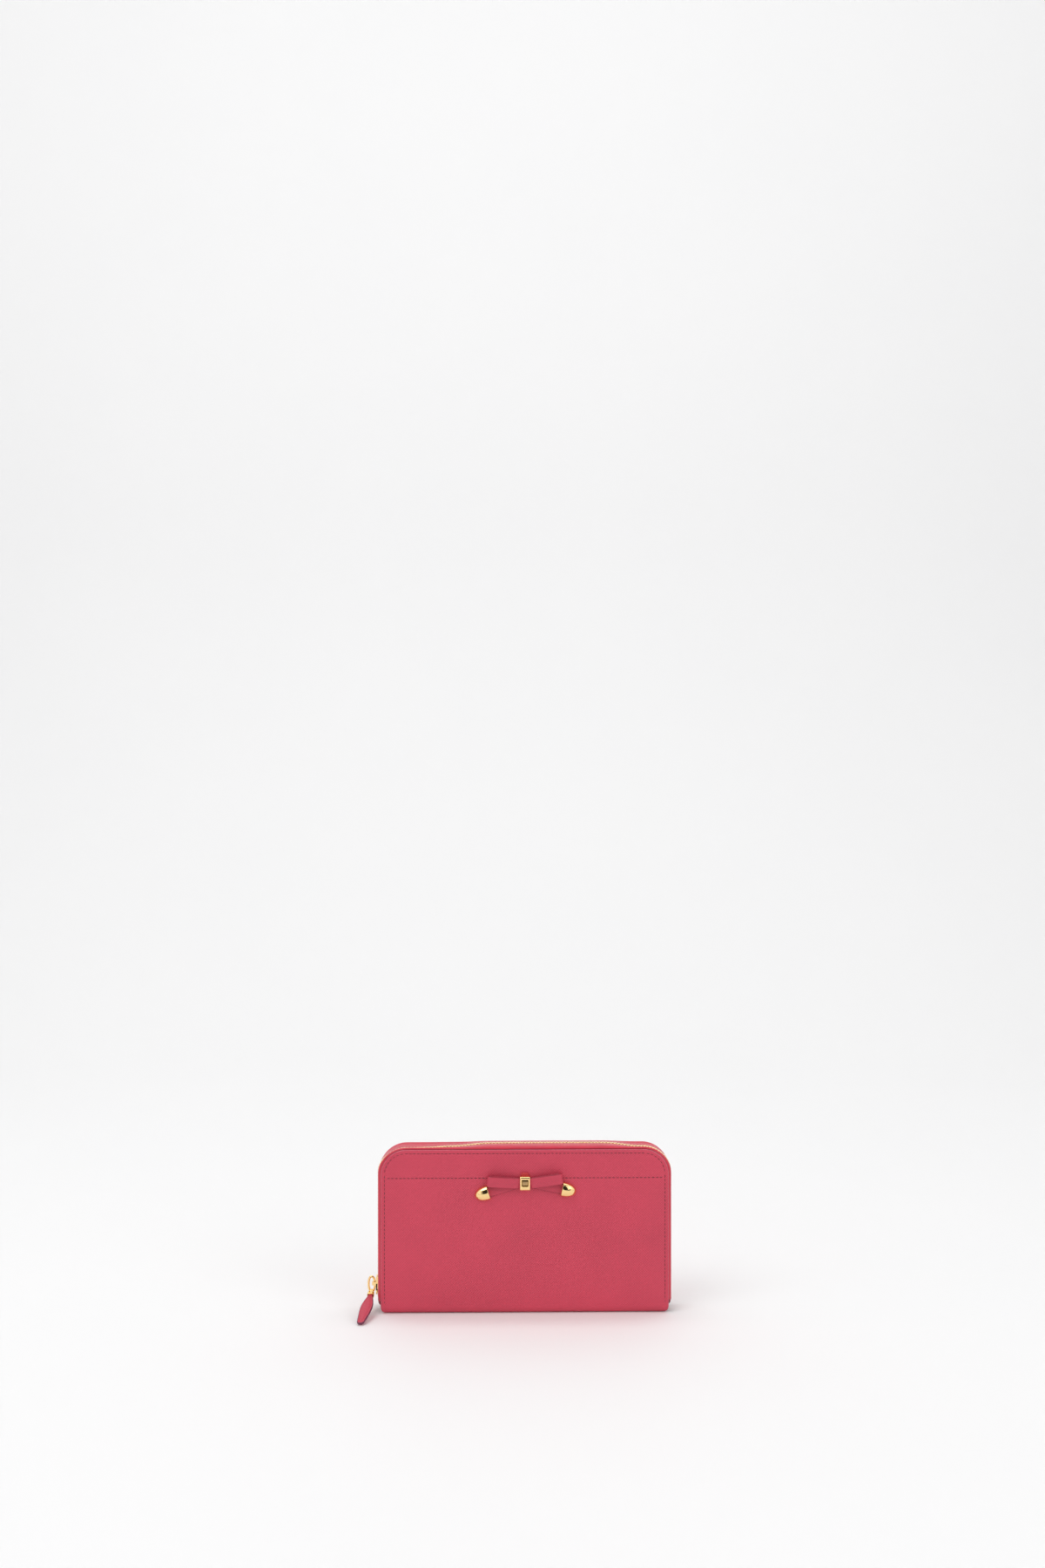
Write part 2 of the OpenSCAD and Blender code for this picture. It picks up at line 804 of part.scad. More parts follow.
// Places the tab, which hangs from the ring's lowest point and leans forward to the table.
module tab_frame() {
    ring_frame() translate([-ring_bend_r, 0, wire_z]) rotate([-tab_lean, 0, 0]) children();
}

// A metal ferrule on the tab's neck, with an eye round the ring's wire.
module tab_clasp() {
    ferrule_d = tab_t + 2 * ferrule_t;
    ferrule_wall = 0.7;
    ferrule_top = -eye_out_r - ferrule_gap;
    eye_w = 1.6;
    stem_t = 1.4;
    color(GOLD) tab_frame() difference() {
        union() {
            rotate([0, 90, 0]) cylinder(eye_w, r = eye_out_r, center = true);
            translate([-eye_w / 2, -stem_t / 2, ferrule_top - ferrule_gap])
                cube([eye_w, stem_t, eye_out_r]);
            translate([-ferrule_w / 2, -ferrule_d / 2, ferrule_top - ferrule_len])
                cube([ferrule_w, ferrule_d, ferrule_len]);
        }
        rotate([0, 90, 0]) cylinder(2 * eye_w, r = eye_r, center = true);
        translate([-neck_w / 2 - neck_play, -tab_t / 2 - neck_play,
                   ferrule_top - ferrule_wall - ferrule_len])
            cube([neck_w + 2 * neck_play, tab_t + 2 * neck_play, ferrule_len]);
    }
}

module pull_tab() {
    leaf_point = 1.5;
    leaf_top = neck_top - ferrule_len - ferrule_gap;
    leaf_half = (tab_reach + neck_top) / 2 + leaf_point;
    leaf_r = (leaf_half * leaf_half + tab_w * tab_w / 4) / tab_w;
    color(LEATHER) tab_frame() rotate([90, 0, 0])
        linear_extrude(tab_t, center = true) union() {
            translate([-neck_w / 2, neck_top - neck_len]) square([neck_w, neck_len]);
            intersection() {
                translate([leaf_r - tab_w / 2, leaf_half - tab_reach]) circle(leaf_r, $fn = 192);
                translate([tab_w / 2 - leaf_r, leaf_half - tab_reach]) circle(leaf_r, $fn = 192);
                translate([-tab_w, -tab_reach]) square([2 * tab_w, tab_reach + leaf_top]);
            }
        }
}

// The coin zip's slider has an arch along the zip that the pull's bar runs under.
module coin_zip_slider() {
    arch_len = 4.6;
    arch_t = 0.8;
    arch_w = 1.2;
    root = 0.1;
    flange = 0.6;
    flare = 0.5;
    color(GOLD) {
        translate([coin_slider_x, 0, coin_zip_z]) rotate([0, 90, 0]) rotate([0, 0, 180])
            slider_body(coin_slider_len, coin_chain_w, coin_tooth_h, coin_plate_t, coin_tape_t,
                        flange, flare);
        translate([coin_arch_x - arch_len / 2, -arch_w / 2, coin_plate_top - root]) difference() {
            cube([arch_len, arch_w, coin_arch_in + arch_t + root]);
            translate([arch_t, -arch_w, root])
                cube([arch_len - 2 * arch_t, 3 * arch_w, coin_arch_in]);
        }
    }
}

// A flat pull with a round bar at its near end, lying along the zip.
module coin_zip_pull() {
    bar_r = 0.45;
    bar_gap = 0.25;
    pull_w = 4;
    pull_t = 2 * bar_r;
    arm = 1;
    arm_len = 4;
    plate_x = arm_len - arm;
    color(GOLD) translate([coin_arch_x, 0, coin_plate_top + bar_r + bar_gap]) {
        rotate([90, 0, 0]) cylinder(pull_w - arm / 2, r = bar_r, center = true);
        for (side = [-1, 1])
            translate([-bar_r, side * (pull_w - arm) / 2 - arm / 2, -bar_r])
                cube([arm_len, arm, pull_t]);
        translate([plate_x, -pull_w / 2, -bar_r])
            cube([coin_pull_len - plate_x, pull_w, pull_t]);
    }
}

front_cover();
front_board();
front_lining();
front_zip_tape();
front_zip_teeth();
front_zip_stops();
front_stitching();
yoke_stitching();
front_card_backing();
front_card_slots();
bow_loops();
bow_tails();
bow_keeper();
keeper_plate();
bow_cap_left();
bow_cap_right();
back_cover();
spine();
spine_lining();
back_board();
back_lining();
back_zip_tape();
back_zip_teeth();
back_zip_stops();
back_stitching();
back_card_backing();
back_card_slots();
left_gusset();
right_gusset();
left_end_patch();
right_end_patch();
coin_front_wall();
coin_back_wall();
coin_seams();
coin_front_tape();
coin_back_tape();
coin_front_teeth();
coin_back_teeth();
coin_zip_slider();
coin_zip_pull();
zip_slider();
pull_ring();
tab_clasp();
pull_tab();
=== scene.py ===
import json
from math import acos, asin, atan2, copysign, cos, exp, hypot, pi, radians, sin, sqrt

import bmesh
import bpy
import numpy as np
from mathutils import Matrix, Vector


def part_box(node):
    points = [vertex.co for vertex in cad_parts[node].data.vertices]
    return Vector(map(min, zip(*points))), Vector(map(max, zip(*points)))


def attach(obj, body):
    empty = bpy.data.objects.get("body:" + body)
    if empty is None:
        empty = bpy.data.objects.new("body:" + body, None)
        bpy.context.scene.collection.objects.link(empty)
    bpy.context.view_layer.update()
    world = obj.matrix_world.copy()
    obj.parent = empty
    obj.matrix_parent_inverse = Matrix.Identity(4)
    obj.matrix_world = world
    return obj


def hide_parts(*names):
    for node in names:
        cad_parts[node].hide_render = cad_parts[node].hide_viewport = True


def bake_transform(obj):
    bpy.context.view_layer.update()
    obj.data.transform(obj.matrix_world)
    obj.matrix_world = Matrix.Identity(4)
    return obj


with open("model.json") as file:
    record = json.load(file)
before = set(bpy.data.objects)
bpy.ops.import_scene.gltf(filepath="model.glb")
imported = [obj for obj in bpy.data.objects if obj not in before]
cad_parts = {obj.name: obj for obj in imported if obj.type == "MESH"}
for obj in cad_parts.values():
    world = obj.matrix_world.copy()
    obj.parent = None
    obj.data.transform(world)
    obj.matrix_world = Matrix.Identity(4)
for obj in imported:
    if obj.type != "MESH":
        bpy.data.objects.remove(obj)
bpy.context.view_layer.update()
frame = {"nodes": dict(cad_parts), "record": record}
MM = 0.001


def corners(node):
    """Lowest and highest corner of a CAD node."""
    return [np.array(p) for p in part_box(node)]


# ---------------------------------------------------------------- sizes, from the frame
cover_lo, cover_hi = corners("front_cover")
half = -cover_lo[1]
leather_t = cover_hi[1] - cover_lo[1]
fold_r = cover_lo[2]
cover_h = cover_hi[2]
half_w = cover_hi[0]
corner_r = 16.5 * MM
turn_x = half_w - corner_r
turn_z = cover_h - corner_r

teeth_lo, teeth_hi = corners("front_zip_teeth")
tooth_h = 1.6 * MM
tooth_pitch = 2.2 * MM
tooth_bite = teeth_hi[1]
chain_half = -teeth_lo[1]
zip_rise = teeth_hi[2] - cover_h - tooth_h / 2
tape_t = 0.5 * MM
tape_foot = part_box("front_zip_tape")[0][2]

stitch_inset = cover_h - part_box("front_stitching")[1][2]
stitch_pitch = 2.6 * MM
stitch_len = 1.3 * MM
yoke_z = sum(p[2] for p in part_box("yoke_stitching")) / 2

keeper_lo, keeper_hi = corners("bow_keeper")
bow_z = (keeper_lo[2] + keeper_hi[2]) / 2
bow_y = -half - 0.15 * MM
ribbon_w = 6.8 * MM
ribbon_t = 1.1 * MM
loop_reach = 25 * MM
loop_depth = 4.6 * MM
tail_len = 24.8 * MM
cap_r = 4.7 * MM
cap_len = 9.6 * MM
window_rise = 0.35 * MM
loop_rise = {-1: 4.4, 1: 9.2}
tail_droop = {-1: 17, 1: 11.5}

joints = {j["name"]: j for j in frame["record"]["behaviour"]["joints"]}
ring_axis = np.array(joints["ring_swing"]["pos_m"])
tab_pivot = np.array(joints["tab_swing"]["pos_m"])
ring_lo, ring_hi = corners("pull_ring")
ring_w = 5.6 * MM
ring_d = 1.4 * MM
tab_reach = 38.3 * MM
tab_t = 2.4 * MM
tab_start = 4.5 * MM
tab_bend = 1.6 * MM

card_rows = 4
card_step = 12 * MM
tooth_len = 0.9 * MM
tooth_drawn_len = 0.98 * MM

# length, width and height of the threads
COVER_STITCH = (stitch_len, 0.62 * MM, 0.22 * MM)
BOW_STITCH = (0.9 * MM, 0.26 * MM, 0.1 * MM)
TAB_STITCH = (1.3 * MM, 0.36 * MM, 0.14 * MM)
INNER_STITCH = (1.9 * MM, 0.4 * MM, 0.16 * MM)
inner_pitch = 2.8 * MM

HALVES = ((-1, "front"), (1, "back"))
SIDES = ((-1, "left"), (1, "right"))


# ---------------------------------------------------------------- materials
class Graph:
    """Short ways to add shader nodes to a material or a world."""

    def __init__(self, owner):
        owner.use_nodes = True
        self.nodes = owner.node_tree.nodes
        self.links = owner.node_tree.links

    def fill(self, socket, value):
        """Sets a socket, or links it if the value is another node's output."""
        if isinstance(value, bpy.types.NodeSocket):
            self.links.new(value, socket)
        else:
            socket.default_value = value

    def add(self, kind, output, inputs, **settings):
        """A new node with its settings and inputs; gives one of its outputs."""
        node = self.nodes.new("ShaderNode" + kind)
        for key, value in settings.items():
            setattr(node, key, value)
        for key, value in inputs.items():
            self.fill(node.inputs[key], value)
        return node.outputs[output]

    def math(self, operation, a, b):
        return self.add("Math", 0, {0: a, 1: b}, operation=operation)

    def times(self, a, b):
        return self.math("MULTIPLY", a, b)

    def plus(self, a, b):
        return self.math("ADD", a, b)

    def noise(self, scale, detail):
        where = self.add("TexCoord", "Object", {})
        return self.add("TexNoise", "Fac", {"Vector": where, "Scale": scale, "Detail": detail})

    def wave(self, angle, period, warp=0.0):
        """Parallel ridges in UV space, which is in metres, turned by an angle in degrees."""
        turned = self.add("Mapping", "Vector", {
            "Vector": self.add("TexCoord", "UV", {}), "Rotation": (0, 0, radians(angle))})
        return self.add("TexWave", "Fac", {
            "Vector": turned, "Scale": pi / 10 / period, "Distortion": warp, "Detail Scale": 2.0})

    def ramp(self, factor, *stops):
        """A colour ramp through (position, colour) stops."""
        node = self.nodes.new("ShaderNodeValToRGB")
        ends = node.color_ramp.elements
        for end, (position, color) in zip(ends, (stops[0], stops[-1])):
            end.position = position
            end.color = (*color, 1)
        for position, color in stops[1:-1]:
            ends.new(position).color = (*color, 1)
        self.links.new(factor, node.inputs["Fac"])
        return node.outputs["Color"]


class Material(Graph):
    """A Principled material with a base colour that its patterns lighten and darken."""

    def __init__(self, name, color, roughness, metallic=0.0):
        self.made = bpy.data.materials.new(name)
        super().__init__(self.made)
        self.color = color
        self.put("Base Color", (*color, 1))
        self.put("Roughness", roughness)
        self.put("Metallic", metallic)

    def put(self, socket, value):
        self.fill(self.nodes["Principled BSDF"].inputs[socket], value)

    def bump(self, height, depth, strength=1.0):
        self.put("Normal", self.add("Bump", "Normal", {
            "Distance": depth, "Strength": strength, "Height": height}))

    def tint(self, factor, *stops):
        """Varies the base colour; each stop is (position, share of the base colour)."""
        self.put("Base Color", self.ramp(factor, *((at, scaled(self.color, k)) for at, k in stops)))

    def gloss(self, factor, *stops):
        self.put("Roughness", self.ramp(factor, *((at, (rough,) * 3) for at, rough in stops)))


def scaled(color, k):
    return tuple(min(1.0, c * k) for c in color)


def make_cross_grain(name, color, period=1.15 * MM, depth=0.05 * MM):
    """Printed leather: two sets of fine slanting ridges, broken up by noise, and small pores."""
    mat = Material(name, color, 0.5)
    first = mat.math("POWER", mat.wave(45, period, 0.5), 1.8)
    second = mat.math("POWER", mat.wave(-45, period, 0.7), 1.8)
    hatch = mat.math("MAXIMUM", first, mat.times(mat.times(second, mat.noise(420, 3)), 1.7))
    mat.bump(mat.plus(hatch, mat.times(mat.noise(2600, 4), 0.45)), depth)
    cloud = mat.noise(28, 4)
    # colour is darker in the grooves between the ridges, painted shade, plus a random cloudy tone
    groove_shade_and_tone = mat.plus(mat.times(hatch, 0.6), mat.times(cloud, 0.5))
    mat.tint(groove_shade_and_tone, (0.15, 0.74), (0.48, 1), (0.9, 1.17))
    mat.gloss(cloud, (0.2, 0.42), (0.8, 0.56))
    mat.put("Specular IOR Level", 0.42)
    return mat.made


def make_smooth_leather(name, color, roughness=0.45, depth=0.03 * MM):
    """Smooth leather with fine closed cells."""
    mat = Material(name, color, roughness)
    where = mat.add("TexCoord", "Object", {})
    cells = mat.add("TexVoronoi", "Distance", {"Vector": where, "Scale": 1500},
                    feature="DISTANCE_TO_EDGE")
    mat.bump(mat.math("MINIMUM", cells, 0.25), depth, 0.8)
    mat.tint(mat.noise(60, 4), (0.25, 0.86), (0.75, 1.1))
    return mat.made


def make_woven(name, color, period, roughness=0.6, sheen=0.3, depth=0.04 * MM):
    mat = Material(name, color, roughness)
    weave = mat.math("MAXIMUM", mat.wave(0, period), mat.wave(90, period * 1.3))
    mat.bump(weave, depth, 0.8)
    shade = mat.plus(mat.times(weave, 0.5), mat.times(mat.noise(90, 3), 0.5))
    mat.tint(shade, (0.15, 0.75), (0.85, 1.15))
    mat.put("Sheen Weight", sheen)
    mat.put("Sheen Roughness", 0.4)
    mat.put("Sheen Tint", (1.0, 0.55, 0.6, 1))
    return mat.made


def make_metal(name, color, roughness=0.14):
    """Plated metal with a little haze and hair-fine scratches."""
    mat = Material(name, color, roughness, 1.0)
    haze = mat.noise(420, 5)
    mat.gloss(haze, (0.3, roughness * 0.7), (0.75, roughness * 1.5))
    mat.tint(haze, (0.2, 0.94), (0.8, 1))
    mat.bump(mat.noise(5200, 2), 0.004 * MM, 0.5)
    return mat.made


def make_thread(name, color):
    mat = Material(name, color, 0.55)
    twist = mat.wave(35, 0.35 * MM)
    mat.bump(twist, 0.05 * MM)
    mat.tint(twist, (0.1, 0.6), (0.9, 1.2))
    mat.put("Sheen Weight", 0.2)
    return mat.made


def make_edge_paint(name, color):
    mat = Material(name, color, 0.3)
    ripple = mat.noise(900, 2)
    mat.bump(ripple, 0.02 * MM, 0.6)
    mat.tint(ripple, (0.3, 0.85), (0.7, 1.1))
    return mat.made


def make_board(name, color):
    mat = Material(name, color, 0.85)
    fibres = mat.noise(700, 6)
    mat.bump(fibres, 0.04 * MM)
    mat.tint(fibres, (0.3, 0.8), (0.7, 1.15))
    return mat.made


ROSE = (0.60, 0.055, 0.098)
LEATHER = make_cross_grain("rose_cross_grain", ROSE)
END_LEATHER = make_smooth_leather("end_leather", (0.27, 0.010, 0.024), 0.5)
# lighter than the cover's leather: real glossy edge paint, whose lighter colour is also a painted
# highlight along the cover's rim
RIM_HIGHLIGHT_PAINT = make_edge_paint("rim_edge_paint_and_highlight", (0.62, 0.085, 0.14))
RIBBON = make_cross_grain("rose_ribbon", scaled(ROSE, 0.94), 0.8 * MM, 0.035 * MM)
INNER = make_smooth_leather("inner_leather", (0.52, 0.058, 0.095))
LINING = make_woven("lining_cloth", (0.43, 0.050, 0.088), 0.5 * MM)
TAPE = make_woven("zip_tape", (0.61, 0.022, 0.056), 0.42 * MM, 0.34, 0.2, 0.02 * MM)
THREAD = make_thread("thread", (0.12, 0.008, 0.018))
TAB_THREAD = make_thread("tab_thread", (0.40, 0.035, 0.07))
# near black: painted shade inside the needle holes at the stitches' ends
HOLE_SHADE = make_edge_paint("needle_hole_shade", (0.05, 0.004, 0.009))
# near-black red: painted shade on the tape's strip that dips into the gap under the cover's edge; also
# the dark edge of the end patches
TAPE_SHADE_AND_PATCH_EDGE = make_edge_paint("tape_fold", (0.16, 0.006, 0.016))
# the keeper window's colours are painted shade: a near-black ground in the sunk window, and gold dimmed
# to tan on the raised bar
WINDOW_GROUND_SHADE = make_metal("window_ground_shade_metal", (0.13, 0.075, 0.022), 0.25)
WINDOW_BAR_SHADE = make_metal("window_bar_shaded_gold", (0.60, 0.40, 0.19), 0.38)
EDGE = make_edge_paint("edge_paint", (0.34, 0.020, 0.045))
PAINT = make_edge_paint("tab_edge_paint", (0.15, 0.026, 0.062))
GOLD = make_metal("gold_plating", (1.0, 0.72, 0.33), 0.11)
TEETH = make_metal("teeth_plating", (1.0, 0.76, 0.45), 0.22)
STRAP = make_smooth_leather("strap_leather", (0.52, 0.028, 0.034), 0.5)
BOARD = make_board("paper_board", (0.50, 0.42, 0.32))


# ---------------------------------------------------------------- mesh helpers
def add_mesh(name, verts, faces, mats, uvs=None, face_mats=None, merge=0.0):
    """A smooth-shaded mesh object. uvs are per vertex, in metres."""
    mesh = bpy.data.meshes.new(name)
    mesh.from_pydata([tuple(v) for v in verts], [], [tuple(int(i) for i in f) for f in faces])
    for mat in mats if isinstance(mats, (list, tuple)) else [mats]:
        mesh.materials.append(mat)
    if face_mats is not None:
        mesh.polygons.foreach_set("material_index", [int(i) for i in face_mats])
    layer = mesh.uv_layers.new(name="UVMap")
    if uvs is None:
        uvs = np.array(verts)[:, [0, 2]]
    uvs = np.asarray(uvs, dtype=float)
    order = np.empty(len(mesh.loops), dtype=int)
    mesh.loops.foreach_get("vertex_index", order)
    layer.data.foreach_set("uv", uvs[order].ravel())
    mesh.polygons.foreach_set("use_smooth", [True] * len(mesh.polygons))
    obj = bpy.data.objects.new(name, mesh)
    bpy.context.scene.collection.objects.link(obj)
    if merge:
        bm = bmesh.new()
        bm.from_mesh(mesh)
        bmesh.ops.remove_doubles(bm, verts=bm.verts, dist=merge)
        bmesh.ops.recalc_face_normals(bm, faces=bm.faces)
        bm.to_mesh(mesh)
        bm.free()
    mesh.update()
    return obj


def place(obj, body, node=None):
    """Rides on a body and may replace a CAD node."""
    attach(obj, body)
    if node:
        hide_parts(node)


def grid_faces(rows, cols, start=0, wrap_rows=False, wrap_cols=False, flip=False):
    faces = []
    for i in range(rows if wrap_rows else rows - 1):
        for j in range(cols if wrap_cols else cols - 1):
            a = start + i * cols + j
            b = start + i * cols + (j + 1) % cols
            c = start + ((i + 1) % rows) * cols + (j + 1) % cols
            d = start + ((i + 1) % rows) * cols + j
            faces.append((a, d, c, b) if flip else (a, b, c, d))
    return faces


def slab(name, outer, inner, uvs, mats, edge_mat=None, on_edge=None):
    """A closed sheet between two grids of points; edge_mat goes on its rim and where on_edge says."""
    rows, cols = outer.shape[:2]
    n = rows * cols
    verts = np.concatenate([outer.reshape(-1, 3), inner.reshape(-1, 3)])
    faces = grid_faces(rows, cols) + grid_faces(rows, cols, n, flip=True)
    flat_count = len(faces)
    ring = ([(0, j) for j in range(cols)] + [(i, cols - 1) for i in range(1, rows)]
            + [(rows - 1, j) for j in range(cols - 2, -1, -1)]
            + [(i, 0) for i in range(rows - 2, 0, -1)])
    ids = [i * cols + j for i, j in ring]
    for k, a in enumerate(ids):
        b = ids[(k + 1) % len(ids)]
        faces.append((b, a, a + n, b + n))
    all_uv = np.concatenate([uvs.reshape(-1, 2)] * 2)
    which = None
    if edge_mat is not None:
        mats = [mats, edge_mat]
        flat = [0] * (flat_count // 2) if on_edge is None else [int(e) for e in on_edge.ravel()]
        which = flat * 2 + [1] * (len(faces) - flat_count)
    return add_mesh(name, verts, faces, mats, all_uv, which, merge=1e-7)


def sheet(name, us, vs, point, mats, edge_mat=None, on_edge=None):
    """A slab from a function that gives the outer point, the inner point and the uv at (u, v)."""
    grid = [[point(u, v) for v in vs] for u in us]
    outer, inner, uvs = (np.array([[spot[k] for spot in row] for row in grid]) for k in range(3))
    return slab(name, outer, inner, uvs, mats, edge_mat, on_edge)


def tube_faces(rows, cols):
    """Faces along a tube of rows rings, each of cols points, and its two ends."""
    faces = grid_faces(rows, cols, wrap_cols=True)
    faces.append(tuple(range(cols - 1, -1, -1)))
    faces.append(tuple((rows - 1) * cols + j for j in range(cols)))
    return faces


def swept(name, rings, mats, closed=False, face_mats=None):
    """A tube through rings of points, all of the same count."""
    rings = np.array(rings)
    rows, cols = rings.shape[:2]
    faces = grid_faces(rows, cols, wrap_rows=True, wrap_cols=True) if closed else tube_faces(rows, cols)
    kinds = None
    if face_mats is not None:
        kinds = [face_mats[k % cols] for k in range(len(faces))]
        if not closed:
            kinds[-2:] = [0, 0]
    steps = np.linalg.norm(np.diff(rings.mean(axis=1), axis=0), axis=1)
    along = np.concatenate([[0], np.cumsum(steps)])
    across = np.concatenate([[0], np.cumsum(np.linalg.norm(np.diff(rings[0], axis=0), axis=1))])
    uvs = np.array([[s, a] for s in along for a in across])
    obj = add_mesh(name, rings.reshape(-1, 3), faces, mats, uvs, kinds)
    fix_normals(obj)
    return obj


def fix_normals(obj):
    bm = bmesh.new()
    bm.from_mesh(obj.data)
    bmesh.ops.recalc_face_normals(bm, faces=bm.faces)
    bm.to_mesh(obj.data)
    bm.free()


def instances(name, shape, frames, mat):
    """Copies of a small shape, each in its own axes: (origin, x axis, y axis, z axis)."""
    base, base_faces, base_uvs = shape
    base = np.array(base)
    verts, faces = [], []
    for k, (origin, ax, ay, az) in enumerate(frames):
        verts.append(np.array(origin) + base @ np.array([ax, ay, az]))
        faces += [tuple(i + k * len(base) for i in f) for f in base_faces]
    obj = add_mesh(name, np.concatenate(verts), faces, mat, np.tile(base_uvs, (len(frames), 1)))
    fix_normals(obj)
    return obj


def stitch(name, size, spots, mat, body, node=None):
    """Threads at spots: (origin, direction of the thread, direction out of the leather)."""
    frames = [(origin, along, np.cross(out, along), out) for origin, along, out in spots]
    place(instances(name, stitch_shape(*size), frames, mat), body, node)


def dress(name, mat):
    """Puts a material on a CAD node that keeps its exact shape."""
    node = frame["nodes"][name]
    node.data.materials.clear()
    node.data.materials.append(mat)
    return node


def bevel(obj, width):
    mod = obj.modifiers.new("soft_edges", "BEVEL")
    mod.width = width
    mod.segments = 2
    mod.limit_method = "ANGLE"
    mod.angle_limit = radians(30)


def smoothstep(t):
    t = np.clip(t, 0, 1)
    return t * t * (3 - 2 * t)


def hump(distance, width):
    """A smooth bump that is 1 at distance 0 and fades over width."""
    return np.exp(-(distance / width) ** 2)


def round_section(width, height, radius, steps=4):
    """Corner-rounded rectangle round the origin, as (across, out) points."""
    points = []
    for cx, cy, start in ((1, 1, 0), (-1, 1, 90), (-1, -1, 180), (1, -1, 270)):
        for k in range(steps + 1):
            a = radians(start + 90 * k / steps)
            points.append((cx * (width / 2 - radius) + radius * cos(a),
                           cy * (height / 2 - radius) + radius * sin(a)))
    return np.array(points)


# ---------------------------------------------------------------- outer leather
foot_round = 2.6 * MM
edge_bulge = 0.16 * MM
channel_depth = 0.12 * MM
crown = 0.28 * MM
highlight_width = 0.5 * MM
yoke_depth = 0.1 * MM
bulge_inset = 1.3 * MM


def cover_half_width(z):
    """Half width of the leather at a height."""
    if z > turn_z:
        return turn_x + sqrt(max(0.0, corner_r ** 2 - (z - turn_z) ** 2))
    if z < fold_r:
        q = 1 - z / fold_r
        return half_w - foot_round * (1 - sqrt(max(0.0, 1 - q * q)))
    return half_w


def edge_distance(x, z):
    """Distance of points of a cover from its rim, which has round top corners."""
    dx = np.maximum(np.abs(x) - turn_x, 0)
    dz = np.maximum(z - turn_z, 0)
    return corner_r - np.hypot(dx, dz)


def side_rows():
    """Heights of the grid's rows on a cover, from the top edge down to the fold."""
    arc = [turn_z + corner_r * sin(radians(a)) for a in np.arange(90, -0.1, -1.25)]
    near = [yoke_z + k * 0.16 * MM for k in range(-7, 8)]
    rest = list(np.arange(turn_z - 1 * MM, fold_r + 0.5 * MM, -1.6 * MM))
    rest = [z for z in rest if abs(z - yoke_z) > 1.4 * MM]
    return sorted(set(arc + near + rest), reverse=True)


def cover_profile():
    """Points of the outer surface's cross-section from the front's top edge, under, to the back's."""
    front = [(-half, z, -1, 0) for z in side_rows()]
    arc = []
    for a in np.linspace(0, 90, 13):
        c, s = cos(radians(a)), sin(radians(a))
        arc.append((-half + fold_r - fold_r * c, fold_r - fold_r * s, -c, -s))
    flat = [(y, 0, 0, -1) for y in np.linspace(-half + fold_r, 0, 6)[1:]]
    front_part = front + arc + flat
    back_part = [(-y, z, -ny, nz) for y, z, ny, nz in reversed(front_part[:-1])]
    return front_part + back_part


def cover_columns():
    """Distances of the columns near a side edge, and places of the others between the sides."""
    cluster = np.concatenate([
        np.linspace(0, 0.55, 7), [0.75, 1.0, 1.3, 1.6, 1.9],
        np.linspace(2.1, 3.3, 9), [3.7, 4.4, 5.5, 7, 9, 11]]) * MM
    middle = np.linspace(-1, 1, 61)[1:-1]
    return cluster, middle


def cover_grids(profile):
    """Outer and inner points, uvs and distances from the rim, over the whole piece of leather."""
    cluster, middle = cover_columns()
    outer, inner, uvs, depths = [], [], [], []
    travel = 0.0
    last = None
    for y, z, ny, nz in profile:
        if last is not None:
            travel += hypot(y - last[0], z - last[1])
        last = (y, z)
        w = cover_half_width(z)
        reach = w - cluster[-1]
        x = np.concatenate([-w + cluster, reach * middle, w - cluster[::-1]])
        d = np.minimum(edge_distance(x, np.full_like(x, z)), w - np.abs(x))
        d = np.maximum(d, 0)
        lip = np.clip(1 - d / (leather_t / 2), 0, 1)
        rim = leather_t / 2 * np.sqrt(1 - lip ** 2)
        face = smoothstep((z - fold_r * 0.6) / (10 * MM))
        rise = edge_bulge * hump(d - bulge_inset, 0.8 * MM) * face
        rise = rise - channel_depth * hump(d - stitch_inset, 0.38 * MM) * face
        rise = rise + crown * smoothstep((d - stitch_inset) / (9 * MM)) * face
        if y < 0:
            inside = smoothstep((d - stitch_inset) / (0.5 * MM))
            rise = rise - yoke_depth * hump(z - yoke_z, 0.34 * MM) * inside
        rise = rise * smoothstep(d / (0.9 * MM))
        out = -leather_t / 2 + rim + rise
        back = -leather_t / 2 - rim
        outer.append(np.stack([x, y + ny * out, z + nz * out], axis=1))
        inner.append(np.stack([x, y + ny * back, z + nz * back], axis=1))
        uvs.append(np.stack([x, np.full_like(x, -travel)], axis=1))
        depths.append(d)
    return np.array(outer), np.array(inner), np.array(uvs), np.array(depths)


def build_outer_leather():
    """One piece of leather: down the front, under the base and up the back."""
    outer, inner, uvs, depths = cover_grids(cover_profile())
    # faces near the rim get the lighter edge paint, a painted highlight
    highlight_mask = (depths[:-1, :-1] + depths[1:, 1:]) / 2 < highlight_width
    leather = slab("outer_leather", outer, inner, uvs, LEATHER, RIM_HIGHLIGHT_PAINT, highlight_mask)
    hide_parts("front_cover", "spine", "back_cover")
    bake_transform(leather)


def stitch_shape(length, width, rise):
    """A short thread that arches out of the leather and dips back at both ends."""
    rings, sides = 9, 8
    verts, uvs = [], []
    for i in range(rings):
        t = i / (rings - 1) * 2 - 1
        thick = width / 2 * sqrt(max(0.08, 1 - abs(t) ** 3))
        lift = rise - width / 2 - (rise + 0.25 * width) * abs(t) ** 3
        for j in range(sides):
            a = 2 * pi * j / sides
            verts.append((t * length / 2, thick * cos(a), lift + thick * sin(a)))
            uvs.append((t * length / 2, a / (2 * pi) * width * 3))
    return verts, tube_faces(rings, sides), uvs


